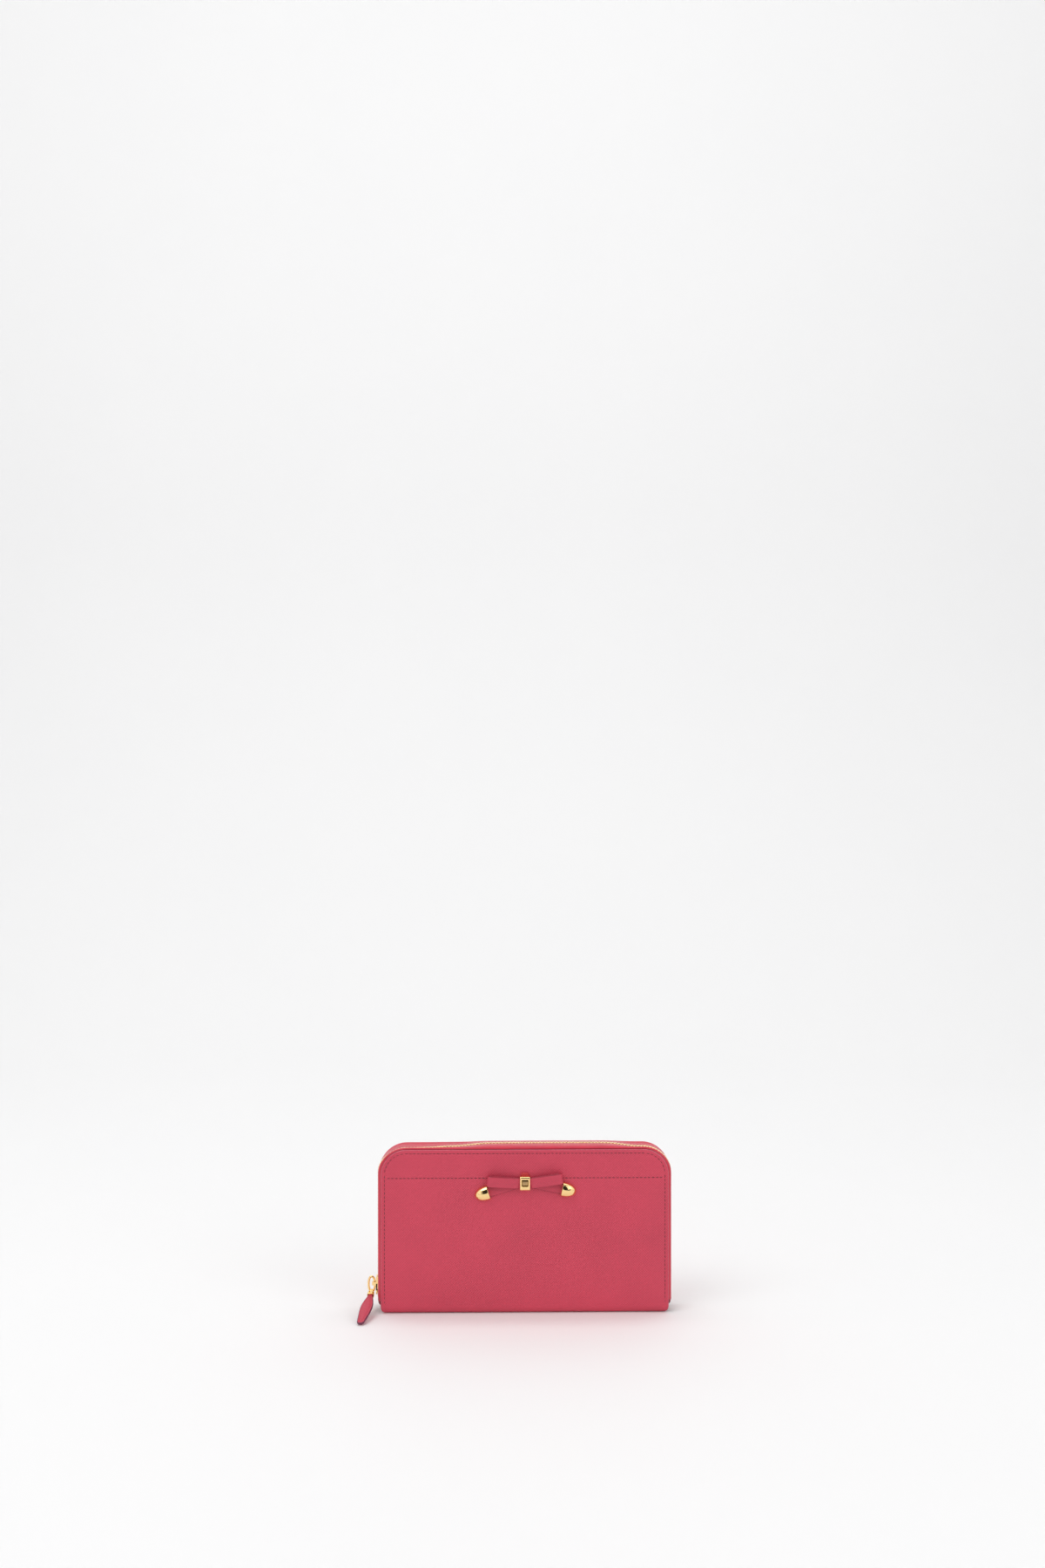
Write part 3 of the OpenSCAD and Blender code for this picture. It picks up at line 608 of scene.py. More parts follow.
def hole_shape(radius):
    """A small dimple at a stitch's end: a flat disc with a raised dark rim."""
    sides = 8
    verts = [(0, 0, -0.4 * radius)]
    for r, z in ((0.55, 0.1), (1.0, 0.0), (1.1, -0.5)):
        for j in range(sides):
            a = 2 * pi * j / sides
            verts.append((r * radius * cos(a), r * radius * sin(a), z * radius))
    faces = [(0, 1 + j, 1 + (j + 1) % sides) for j in range(sides)]
    for ring in range(2):
        for j in range(sides):
            a = 1 + ring * sides + j
            b = 1 + ring * sides + (j + 1) % sides
            faces.append((a, a + sides, b + sides, b))
    return verts, faces, [v[:2] for v in verts]


def rim_spots(y, outward):
    """Where the stitches stand round three sides of a cover."""
    r = corner_r - stitch_inset
    foot = fold_r + 1.5 * MM
    side = turn_z - foot
    side_n = int(side / stitch_pitch)
    top_n = int(2 * turn_x / stitch_pitch)
    bend_n = round(r * pi / 2 / stitch_pitch)
    line = [((k - top_n / 2) * stitch_pitch, cover_h - stitch_inset, (1, 0, 0))
            for k in range(top_n + 1)]
    for m in (-1, 1):
        for k in range(side_n):
            line.append((m * (half_w - stitch_inset), foot + (k + 0.5) * side / side_n, (0, 0, 1)))
        for k in range(1, bend_n):
            a = pi / 2 * k / bend_n
            line.append((m * (turn_x + r * cos(a)), turn_z + r * sin(a), (-m * sin(a), 0, cos(a))))
    return [((x, y, z), along, (0, outward, 0)) for x, z, along in line]


def yoke_spots(y):
    """Where the stitches of the straight seam across the front cover stand."""
    reach = half_w - stitch_inset - 2.4 * MM
    count = int(2 * reach / stitch_pitch)
    spots = []
    for k in range(count + 1):
        x = (k - count / 2) * stitch_pitch
        rise = crown * smoothstep((half_w - abs(x) - stitch_inset) / (9 * MM))
        spots.append(((x, y - rise, yoke_z), (1, 0, 0), (0, -1, 0)))
    return spots


def hole_frames(spots):
    """Both ends of every stitch, a hair above the leather."""
    frames = []
    for origin, along, out in spots:
        along, out = np.array(along), np.array(out)
        for end in (-1, 1):
            end_point = np.array(origin) + along * end * stitch_len / 2 + out * 0.02 * MM
            frames.append((end_point, along, np.cross(out, along), out))
    return frames


def build_stitching():
    channel = half - channel_depth * 0.9
    for name, spots, body, node in (
            ("front_stitches", rim_spots(-channel, -1), "front_half", "front_stitching"),
            ("yoke_stitches", yoke_spots(-half + 0.09 * MM), "front_half", "yoke_stitching"),
            ("back_stitches", rim_spots(channel, 1), "back_half", "back_stitching")):
        stitch(name, COVER_STITCH, spots, THREAD, body, node)
        # the near-black holes are painted shade
        holes = instances(name + "_holes", hole_shape(0.3 * MM), hole_frames(spots), HOLE_SHADE)
        place(holes, body)


# ---------------------------------------------------------------- main zip
wave_left = 3.4 * MM
wave_right = 2.0 * MM
crest_drop = 1.2 * MM


def chain_shift(station):
    """How far the closed zip waves towards the front cover as it rounds the two top corners."""
    hx, hz, a = station
    if hz < turn_z:
        return 0.0
    reach = hx + turn_x
    left = wave_left * smoothstep((pi - a) / 0.9) * hump(reach, 34 * MM)
    right = wave_right * smoothstep(a / 0.9) * hump(2 * turn_x - reach, 16 * MM)
    return -(left + right)


def crest_sag(station):
    """How far the closed zip sinks towards the two top corners."""
    hx, _, a = station
    start = (24 if hx < 0 else 54) * MM
    x = abs(hx + corner_r * cos(a))
    return crest_drop * smoothstep((x - start) / (20 * MM)) * sin(a) ** 2


def run_point(station, u, v):
    """A point at distance u out of the cover's edge and depth v, at a station (hub x, hub z, angle)."""
    hx, hz, a = station
    shift = chain_shift(station)
    loose = 1 - smoothstep((abs(v) - 2 * MM) / (half - 3.2 * MM))
    drop = abs(shift) * 0.42 * loose + crest_sag(station) * min(1, 2.5 * loose)
    return (hx + (corner_r + u - drop) * cos(a), v + shift * loose,
            hz + (corner_r + u - drop) * sin(a))


def run_stations(left_foot, right_foot, step=3 * MM, bend_steps=20):
    """Stations along the left side, the top and the right side."""
    out = [(-turn_x, z, pi) for z in np.arange(left_foot, turn_z, step)]
    out += [(-turn_x, turn_z, pi - pi / 2 * k / bend_steps) for k in range(bend_steps)]
    out += [(x, turn_z, pi / 2) for x in np.linspace(-turn_x, turn_x, int(2 * turn_x / step))]
    out += [(turn_x, turn_z, pi / 2 - pi / 2 * k / bend_steps)
            for k in range(1, bend_steps + 1)]
    out += [(turn_x, z, 0.0) for z in np.linspace(turn_z, right_foot, int((turn_z - right_foot) / step))]
    return out


def bezier(p0, p1, p2, p3, count):
    t = np.linspace(0, 1, count)[:, None]
    p0, p1, p2, p3 = [np.array(p, dtype=float) for p in (p0, p1, p2, p3)]
    return (1 - t) ** 3 * p0 + 3 * (1 - t) ** 2 * t * p1 + 3 * (1 - t) * t * t * p2 + t ** 3 * p3


def thicken(line, thickness):
    """Closed outline of a strip of a given thickness along a line of 2D points."""
    line = np.array(line)
    way = np.gradient(line, axis=0)
    way /= np.linalg.norm(way, axis=1)[:, None]
    left = np.stack([-way[:, 1], way[:, 0]], axis=1) * thickness / 2
    return np.concatenate([line + left, (line - left)[::-1]])


def tape_section(side):
    """The tape from its sewn margin, over the shoulder, to the teeth, as (u, v)."""
    sewn = -half + leather_t + tape_t / 2
    line = [(-4.5 * MM, sewn), (-3.2 * MM, sewn), (-2.0 * MM, sewn)]
    curve = bezier((-1.2 * MM, sewn + 0.1 * MM), (-0.4 * MM, sewn + 0.9 * MM),
                   (zip_rise - 0.2 * MM, -half + 2.2 * MM), (zip_rise, -7.4 * MM), 14)
    ridge = ((-6.6, 0.04), (-5.8, 0.12), (-5, 0.2), (-4.2, 0.25), (-3.4, 0.24), (-2.7, 0.14),
             (-2.2, 0.03), (-1.7, 0), (-1.15, 0))
    flat = [(zip_rise + lift * MM, v * MM) for v, lift in ridge]
    points = np.array(line + [tuple(p) for p in curve] + flat)
    points[:, 1] *= -side
    return thicken(points, tape_t)


def build_tapes():
    stations = run_stations(tape_foot, tape_foot)
    for side, half_name in HALVES:
        section = tape_section(side)
        rings = [[run_point(st, u, v) for u, v in section] for st in stations]
        # the strip that dips into the gap is coloured darker: painted shade
        folded = [int(0.2 * MM > u > -1.6 * MM) for u, v in section]
        tape = swept(half_name + "_tape", rings, [TAPE, TAPE_SHADE_AND_PATCH_EDGE], face_mats=folded)
        place(tape, half_name + "_half", half_name + "_zip_tape")


def tooth_shape(bite, width, height, length):
    """A metal tooth as (out, across, along): rounded head, waist and two clamped legs."""
    outline = [
        (-width, 0.46), (-width * 0.55, 0.50), (-width * 0.38, 0.40), (-width * 0.2, 0.34),
        (0, 0.46), (bite * 0.45, 0.54), (bite * 0.85, 0.44), (bite, 0.22)]
    outline = [(v, w * length) for v, w in outline]
    outline += [(v, -w) for v, w in reversed(outline)]
    layers = ((-0.5, 0.82), (-0.38, 1.0), (0.38, 1.0), (0.5, 0.82))
    middle_v = (bite - width) / 2
    verts = []
    for level, shrink in layers:
        for v, w in outline:
            verts.append((level * height, middle_v + (v - middle_v) * (1 - (1 - shrink) * 0.5),
                          w * shrink))
    return verts, tube_faces(len(layers), len(outline)), [v[:2] for v in verts]


def chain_stations(node):
    """Where the teeth of one row stand, found again from the row's lowest teeth."""
    mesh = frame["nodes"]["front_zip_teeth"].data
    pts = np.array([v.co for v in mesh.vertices])
    first_z = pts[pts[:, 0] < 0][:, 2].min() + tooth_len / 2
    left_run = turn_z - first_z
    bend = (corner_r + zip_rise) * pi / 2
    top = 2 * turn_x
    right_run = turn_z - (tape_foot + 3.4 * MM)
    total = left_run + top + right_run + 2 * bend
    count = int(total / (tooth_pitch / 2))
    out = []
    for k in range(0 if node == "front_zip_teeth" else 1, count + 1, 2):
        s = k * tooth_pitch / 2
        one = min(max((s - left_run) / bend, 0), 1)
        two = min(max((s - left_run - bend - top) / bend, 0), 1)
        a = pi - pi / 2 * (one + two)
        hx = -turn_x + min(max(s - left_run - bend, 0), top)
        hz = turn_z - max(0, left_run - s) - max(0, s - left_run - 2 * bend - top)
        out.append((hx, hz, a))
    return out


def build_teeth():
    tooth = tooth_shape(tooth_bite, 0.85 * chain_half, tooth_h, tooth_drawn_len)
    for side, half_name in HALVES:
        node = half_name + "_zip_teeth"
        frames = []
        for hx, hz, a in chain_stations(node):
            radial = (cos(a), 0, sin(a))
            along = (sin(a), 0, -cos(a))
            frames.append((run_point((hx, hz, a), zip_rise, 0), radial, (0, -side, 0), along))
        teeth = instances(half_name + "_teeth", tooth, frames, TEETH)
        place(teeth, half_name + "_half", node)


def build_end_patches():
    """Leather patches folded over the tape's two ends, tapering to the spine."""
    for m, hand in SIDES:
        lo, hi = corners(hand + "_end_patch")
        top = hi[2] + 2.3 * MM
        low = lo[2] - 1.2 * MM

        def point(t, s):
            z = low + (top - low) * t
            wide = (hi[1] - 0.4 * MM) * (0.62 + 0.38 * smoothstep(t * 2.2))
            bulge = (zip_rise + 0.5 * MM) * smoothstep(t * 2.6) * (1 - abs(s) ** 3 * 0.6)
            edge = 0.45 * MM * sqrt(max(0, 1 - max(abs(s), abs(2 * t - 1)) ** 12))
            x = m * (half_w - 0.6 * MM + bulge)
            return (x + m * edge, s * wide, z), (x - m * edge, s * wide, z), (s * wide, z)

        patch = sheet(hand + "_end_leather", np.linspace(0, 1, 15), np.linspace(-1, 1, 21), point,
                      END_LEATHER, TAPE_SHADE_AND_PATCH_EDGE)
        place(patch, "back_half", hand + "_end_patch")


# ---------------------------------------------------------------- bow
bow_pivot = (keeper_hi[0] - keeper_lo[0]) / 2 + 0.2 * MM


def bow_point(side, angle, x, y, z):
    """From a ribbon's own axes (x outwards, z up) to the row's axes."""
    a = radians(angle)
    rx = bow_pivot + (x - bow_pivot) * cos(a) - z * sin(a)
    rz = (x - bow_pivot) * sin(a) + z * cos(a)
    return (side * rx, y, bow_z + rz)


def loop_line():
    """The loop's middle line seen from above, as (x, y, nx, ny), closed."""
    base = bow_y - ribbon_t - 0.15 * MM
    r1, r2 = 1.2 * MM, loop_depth / 2
    c1 = np.array([bow_pivot + r1, base - r1])
    c2 = np.array([loop_reach - r2, base - r2])
    gap = c2 - c1
    lean = asin((r1 - r2) / np.linalg.norm(gap)) - atan2(-gap[1], gap[0])
    front = -pi / 2 + lean
    points = []

    def arc(centre, radius, start, end, count):
        for k in range(count):
            a = start + (end - start) * k / (count - 1)
            n = np.array([cos(a), sin(a)])
            points.append((*(centre + n * (radius - ribbon_t / 2)), *n))

    def line(start, end, count, bow_out):
        start, end = np.array(start), np.array(end)
        for k in range(1, count):
            t = k / count
            p = start + (end - start) * t
            bulge = bow_out * sin(pi * t)
            points.append((p[0] + p[2] * bulge, p[1] + p[3] * bulge, start[2], start[3]))

    arc(c2, r2, pi / 2, front, 15)
    first = points[-1]
    near = (*(c1 + np.array([cos(front), sin(front)]) * (r1 - ribbon_t / 2)),
            cos(front), sin(front))
    line(first, near, 16, 0.35 * MM)
    arc(c1, r1, front, front - pi * 2 + (pi / 2 - front), 9)
    line(points[-1], points[0], 14, 0)
    return points


def ribbon_section(width):
    """A ribbon's section, and a 1 for each of its points on a cut edge."""
    section = round_section(width, ribbon_t, 0.3 * MM, 3)
    return section, [int(abs(p[0]) > width / 2 - 0.28 * MM) for p in section]


def build_loops():
    section, on_edge = ribbon_section(ribbon_w)
    for side, hand in SIDES:
        rings = [[bow_point(side, loop_rise[side], x + nx * out, y + ny * out, across)
                  for across, out in section] for x, y, nx, ny in loop_line()]
        loop = swept("bow_loop_" + hand, rings, [RIBBON, EDGE], closed=True, face_mats=on_edge)
        place(loop, "front_half", "bow_loops" if side < 0 else None)
    core = core_block("bow_loop_core", bow_y - ribbon_t - 0.15 * MM - 2.35 * MM,
                      bow_y - ribbon_t - 0.2 * MM, ribbon_w)
    place(core, "front_half")


def core_block(name, y0, y1, height):
    """The gathered middle of a ribbon, inside the keeper."""
    section = round_section(height, y1 - y0, min(0.5 * MM, (y1 - y0) * 0.4), 4)
    xs = np.linspace(-bow_pivot - 0.4 * MM, bow_pivot + 0.4 * MM, 9)
    rings = [[(x, (y0 + y1) / 2 + out, bow_z + across * (1 - 0.02 * cos(x / bow_pivot)))
              for across, out in section] for x in xs]
    return swept(name, rings, RIBBON)


def build_tails():
    width = ribbon_w - 0.4 * MM
    section, on_edge = ribbon_section(width)
    for side, hand in SIDES:
        rings = []
        for x in np.linspace(bow_pivot - 0.6 * MM, tail_len + 2.6 * MM, 22):
            y = bow_y - ribbon_t / 2 - 0.25 * MM * sin(pi * min(1, x / tail_len))
            rings.append([bow_point(side, -tail_droop[side], x, y + out, across)
                          for across, out in section])
        tail = swept("bow_tail_" + hand, rings, [RIBBON, EDGE], face_mats=on_edge)
        place(tail, "front_half", "bow_tails" if side < 0 else None)
    place(core_block("bow_tail_core", bow_y - ribbon_t, bow_y, width), "front_half")


def ribbon_stitches():
    """A row of small stitches along the middle of each loop's front."""
    front = loop_line()[29:14:-1]
    xs = [p[0] for p in front]
    ys = [p[1] + p[3] * ribbon_t / 2 for p in front]
    spots = []
    for side in (-1, 1):
        for x in np.arange(6.5 * MM, loop_reach - 2.5 * MM, 1.9 * MM):
            y = np.interp(x, xs, ys)
            slope = (np.interp(x + 0.5 * MM, xs, ys) - np.interp(x - 0.5 * MM, xs, ys)) / MM
            here = np.array(bow_point(side, loop_rise[side], x, y, -0.5 * MM))
            there = np.array(bow_point(side, loop_rise[side], x + MM, y + slope * MM, -0.5 * MM))
            along = (there - here) / np.linalg.norm(there - here)
            out = np.cross(along, [0, 0, side])
            spots.append((here, along, out / np.linalg.norm(out)))
    stitch("bow_stitches", BOW_STITCH, spots, TAB_THREAD, "front_half")


def build_caps():
    """Pointed metal caps with a rolled lip and a soft ridge, flat against the cover."""
    profile = [(0.0, 0.3 * MM), (cap_r - 0.7 * MM, 0.3 * MM), (cap_r - 0.45 * MM, 0.0),
               (cap_r - 0.1 * MM, -0.05 * MM), (cap_r + 0.12 * MM, 0.25 * MM),
               (cap_r + 0.05 * MM, 0.6 * MM)]
    for k in range(1, 25):
        h = cap_len * (0.08 + 0.92 * sin(pi / 2 * k / 24))
        profile.append((1.02 * cap_r * (1 - (h / cap_len) ** 2.8) ** 0.62, h))
    sides = 40
    cols = sides + 1
    faces = grid_faces(len(profile), cols)
    for a in range(0, (len(profile) - 1) * cols, cols):
        faces.append((a, a + cols, a + cols + sides, a + sides))
    for side, hand in SIDES:
        verts = []
        for r, h in profile:
            for j in range(cols):
                a = pi * j / sides
                rise = 0.94 * abs(sin(a)) ** 0.7
                across = copysign(abs(cos(a)) ** 0.85, cos(a))
                ridge = 1 + 0.05 * hump(a - pi / 2, 0.22) * min(1, h / (2 * MM))
                verts.append(bow_point(side, -tail_droop[side], tail_len + h,
                                       bow_y - r * rise * ridge, r * across))
        cap = add_mesh("cap_" + hand, verts, faces, GOLD, merge=1e-7)
        place(cap, "front_half", "bow_cap_" + hand)


def build_keeper():
    """The gold keeper: a band with rounded corners and a sunk window in its front."""
    w = (keeper_hi[0] - keeper_lo[0]) / 2
    h = (keeper_hi[2] - keeper_lo[2]) / 2
    front = keeper_lo[1]
    thick = 0.9 * MM
    bend = 1.3 * MM
    window_w, window_h = w - 1.0 * MM, h - 2.3 * MM
    sink = 0.55 * MM
    slope = 0.3 * MM
    soft_r = 0.25 * MM
    line = [(bow_y, h, 0, 1), (bow_y - 1.5 * MM, h, 0, 1)]
    for a in np.linspace(90, 0, 9):
        s, c = sin(radians(a)), cos(radians(a))
        line.append((front + bend - bend * c, h - bend + bend * s, -c, s))
    zs = [window_h + slope, window_h, window_h - slope, 0.6 * window_h, 0]
    line += [(front, z, -1, 0) for z in zs if z < h - bend]
    line += [(y, -z, ny, -nz) for y, z, ny, nz in reversed(line[:-1])]
    xs = [0, 0.6 * window_w, window_w - slope, window_w, window_w + slope, w - soft_r,
          w - 0.07 * MM, w]
    xs = [-x for x in reversed(xs[1:])] + xs

    def point(station, x):
        y, z, ny, nz = station
        past = max(0, (abs(x) - w + soft_r) / soft_r)
        soft = 0.22 * MM * (1 - sqrt(max(0, 1 - past ** 2)))
        inside = min((window_w - abs(x)) / slope, (window_h - abs(z)) / slope, 1)
        flat = ny < -0.99
        dip = sink * max(0, inside) if flat else 0
        height = bow_z + z + (window_rise if flat else 0)
        return ((x, y - ny * (soft + dip), height - nz * soft),
                (x, y - ny * thick, height - nz * thick), (x, z))

    keeper = sheet("keeper_band", line, xs, point, GOLD)
    bevel(keeper, 0.08 * MM)
    place(keeper, "front_half", "bow_keeper")


def build_strap():
    """The end of the strap that the keeper holds down, just above it."""
    top = keeper_hi[2] + 2.2 * MM
    section = round_section(5.0 * MM, 1.1 * MM, 0.35 * MM, 4)
    tip = 0.15
    rings = []
    for z in np.linspace(bow_z, top, 12):
        q = (z - bow_z) / (top - bow_z)
        soft = sqrt(max(0.05, 1 - (max(0, q - 1 + tip) / tip) ** 2))
        middle = bow_y - 0.62 * MM - 0.3 * MM * q
        rings.append([(x * (0.9 + 0.1 * soft), middle + y * soft, z) for x, y in section])
    place(swept("bow_strap", rings, STRAP), "front_half")


def window_step(name, levels, mat):
    """A stepped plate in the window; each level is (half width, half height, how far out) in mm."""
    base = keeper_lo[1] + 0.52 * MM
    rings = []
    for a, b, out in levels:
        section = round_section(2 * a * MM, 2 * b * MM, 0.25 * a * MM, 5)
        rings.append([(x, base - out * MM, bow_z + window_rise + z) for x, z in section])
    place(swept(name, rings, mat), "front_half")


def build_keeper_window():
    """A sunk ground painted near black as shade, with a raised bar, lighter than the ground, of gold
    dimmed to tan as painted shade, framed by the keeper's rims.
    """
    ground = ((2.45, 2.5, -0.3), (2.45, 2.5, 0), (2.38, 2.43, 0.05))
    bar = ((1.75, 1.3, -0.1), (1.75, 1.3, 0.22), (1.6, 1.15, 0.34), (0.8, 0.55, 0.37))
    window_step("keeper_window_ground", ground, WINDOW_GROUND_SHADE)
    window_step("keeper_window_bar", bar, WINDOW_BAR_SHADE)


# ---------------------------------------------------------------- slider, ring and tab
def ring_axes():
    """The ring's own axes: out along its flat, and forward across it."""
    radial = tab_pivot - ring_axis
    radial[2] = 0
    radial /= np.linalg.norm(radial)
    across = np.cross([0, 0, 1], radial)
    return radial, across


def build_ring():
    """An oval ring of round wire, whose inner side runs through the slider's knuckle."""
    radial, across = ring_axes()
    half_wide = (ring_w - ring_d) / 2
    half_high = (ring_hi[2] - ring_lo[2] - ring_d) / 2
    centre = ring_axis + radial * half_wide
    centre[2] = (ring_lo[2] + ring_hi[2]) / 2
    power = 2 / 2.25
    wire_r = ring_d * 0.53
    line = []
    for a in np.linspace(0, 2 * pi, 72, endpoint=False):
        c, q = cos(a), sin(a)
        line.append(centre + radial * half_wide * copysign(abs(c) ** power, c)
                    + np.array([0, 0, half_high * copysign(abs(q) ** power, q)]))
    line = np.array(line)
    way = np.roll(line, -1, axis=0) - np.roll(line, 1, axis=0)
    rings = []
    for point, step in zip(line, way):
        out = np.cross(across, step / np.linalg.norm(step))
        rings.append([point + (out * cos(b) + across * sin(b)) * wire_r
                      for b in np.linspace(0, 2 * pi, 18, endpoint=False)])
    place(swept("pull_ring_wire", rings, GOLD, closed=True), "ring", "pull_ring")


def tab_axes():
    """The tab's axes: along to its tip, across its width, and out of its upper face."""
    radial, across = ring_axes()
    lean = acos((tab_pivot[2] - 0.15 * MM - tab_t / 2) / tab_reach)
    forward = across if across[1] < 0 else -across
    along = forward * sin(lean) - np.array([0, 0, cos(lean)])
    wide = radial
    face = np.cross(wide, along)
    face *= np.sign(face[2])
    return along, wide, face


def tab_half_width(t):
    """Half the leaf's width: a narrow neck, a full upper middle and a blunt round end."""
    stops = (0, 0.08, 0.2, 0.34, 0.46, 0.6, 0.75, 0.88, 1)
    widths = (1.7, 2.0, 2.9, 3.8, 4.05, 3.85, 3.3, 2.75, 2.3)
    swell = float(np.interp(t, stops, widths)) * MM
    end = 0.93
    if t > end:
        q = (t - end) / (1 - end)
        swell *= sqrt(max(0, 1 - q * q))
    return swell


def tab_middle(t):
    """The leaf's middle line, which curves a little away from the wallet."""
    along, wide, face = tab_axes()
    arch = 0.35 * MM * sin(pi * t)
    return (tab_pivot + along * (tab_start + t * (tab_reach - tab_start))
            - wide * np.sign(wide[0]) * tab_bend * t * t + face * arch)


def build_tab():
    along, wide, face = tab_axes()
    length = tab_reach - tab_start
    seam_inset = 1.5 * MM
    top_t, low_t = 0.62, 0.92
    ts = np.concatenate([np.linspace(0, 0.92, 40), 0.93 + 0.07 * np.sin(np.linspace(0, pi / 2, 12))])
    ss = np.sin(np.linspace(-pi / 2, pi / 2, 25))

    def inset(t, s):
        return min((1 - abs(s)) * tab_half_width(t), (1 - t) * length)

    def point(t, s):
        w = tab_half_width(t)
        d = inset(t, s)
        round_off = sqrt(max(0, 1 - max(0, 1 - d / (0.9 * MM)) ** 2))
        seam = 0.22 * MM * hump(d - seam_inset, 0.3 * MM)
        pad = 0.12 * MM * smoothstep((d - seam_inset) / (1.5 * MM))
        h = tab_t / 2 * top_t * round_off - seam + pad
        base = tab_middle(t) + wide * s * w
        low = tab_t / 2 * low_t * round_off
        return base + face * max(h, 0), base - face * low, (s * w, t * length)

    depths = np.array([[inset(t, s) for s in ss] for t in ts])
    painted = (depths[:-1, :-1] + depths[1:, 1:]) / 2 < 0.55 * MM
    leaf = sheet("pull_tab_leather", ts, ss, point, RIBBON, PAINT, painted)
    place(leaf, "tab", "pull_tab")
    spots = []
    for side in (-1, 1):
        for t in np.arange(0.12, 0.93, 0.055):
            w = tab_half_width(t) - seam_inset
            if w < 0.5 * MM:
                continue
            ahead = tab_half_width(t + 0.01) - tab_half_width(t)
            way = along * 0.01 * length + wide * side * ahead
            origin = tab_middle(t) + wide * side * w + face * (tab_t / 2 * top_t - 0.2 * MM)
            spots.append((origin, way / np.linalg.norm(way), face))
    stitch("pull_tab_stitches", TAB_STITCH, spots, TAB_THREAD, "tab")


def build_clasp():
    """The tab's metal end: an eye round the ring's wire and a crimped ferrule."""
    along, wide, face = tab_axes()
    eye_in, eye_out, eye_w = 0.98 * MM, 1.63 * MM, 0.7 * MM
    apart = 0.5 * MM
    section = round_section(eye_w, eye_out - eye_in, 0.2 * MM, 2)
    for side, tag in ((-1, "inner"), (1, "outer")):
        rings = []
        for a in np.linspace(0, 2 * pi, 29)[:-1]:
            out = along * cos(a) + face * sin(a)
            rings.append([tab_pivot + out * ((eye_in + eye_out) / 2 + r) + wide * (x + side * apart)
                          for x, r in section])
        eye = swept("clasp_eye_" + tag, rings, GOLD, closed=True)
        place(eye, "tab", "tab_clasp" if side < 0 else None)
    rings = []
    # how far along from the pivot, half width and half thickness, in mm
    shape = ((1.5, 0.9, 0.8), (1.9, 1.9, 1.5), (2.3, 2.1, 1.72), (3.4, 2.25, 1.75), (4.8, 2.2, 1.72),
             (5.2, 2.25, 1.78), (5.5, 2.2, 1.74), (5.6, 2.0, 1.55), (5.35, 1.8, 1.3))
    for distance, half_wide, half_thick in shape:
        section = round_section(2 * half_wide * MM, 2 * half_thick * MM, 0.55 * half_thick * MM, 4)
        rings.append([tab_pivot + along * distance * MM + wide * x + face * y for x, y in section])
    place(swept("clasp_ferrule", rings, GOLD), "tab")


def dress_metal_nodes():
    """Metal CAD nodes keep their exact shape and get softened edges."""
    for name in ("zip_slider", "coin_zip_slider", "coin_zip_pull", "keeper_plate",
                 "front_zip_stops", "back_zip_stops"):
        bevel(dress(name, GOLD), 0.05 * MM if name == "keeper_plate" else 0.14 * MM)


# ---------------------------------------------------------------- inside
def panel(name, lo, hi, out, mat, body, slot, node, lip=0.0, round_top=False, edge_mat=None):
    """An upright sheet with softly rounded edges, whose face looks along y (out is 1 or -1)."""
    (x0, y0, z0), (x1, y1, z1) = lo, hi
    y_back, y_face = (y0, y1)[::out]
    thick = y1 - y0
    edge = min(0.5 * thick, 0.3 * MM)
    fine = np.array([0, 0.15, 0.4, 0.8, 1.5, 2.5]) * max(edge, 0.2 * MM) * 2
    cols = np.concatenate([x0 + fine, np.linspace(x0, x1, 26)[2:-2], x1 - fine[::-1]])
    rows = np.concatenate([z0 + fine, np.linspace(z0, z1, 16)[2:-2], z1 - fine[::-1]])
    mid, reach = (x0 + x1) / 2, (x1 - x0) / 2
    r = corner_r - (half_w - x1)
    if round_top:
        arc = [turn_z + r * sin(radians(a)) for a in range(0, 91, 5)]
        rows = np.concatenate([z0 + fine, np.linspace(z0, turn_z, 16)[2:-1], arc])

    def point(z, x):
        shrink = r - sqrt(max(0.0, r * r - (z - turn_z) ** 2)) if round_top and z > turn_z else 0.0
        px = mid + (x - mid) * (reach - shrink) / reach
        d = min(abs(x - x0), abs(x - x1), z - z0, z1 - z)
        soft = 1 - sqrt(max(0.0, 1 - max(0.0, 1 - d / edge) ** 2))
        roll = lip * hump(z1 - z - 0.6 * MM, 0.5 * MM)
        roll -= lip * 0.8 * hump(z1 - z - 1.8 * MM, 0.3 * MM)
        return ((px, y_face - out * (soft * thick * 0.5) + out * roll, z),
                (px, y_back + out * soft * thick * 0.5, z), (px, z))

    place(sheet(name, rows, cols, point, mat, edge_mat), body, node)


def build_linings():
    for side, half_name in HALVES:
        node = half_name + "_lining"
        panel(node + "_cloth", *corners(node), -side, LINING, half_name + "_half", "lining", node,
              round_top=True)
    lo, hi = corners("spine_lining")

    def point(y, x):
        return (x, y, hi[2]), (x, y, lo[2]), (x, y)

    cloth = sheet("spine_lining_cloth", np.linspace(lo[1], hi[1], 12), np.linspace(lo[0], hi[0], 40),
                  point, LINING)
    place(cloth, "back_half", "spine_lining")


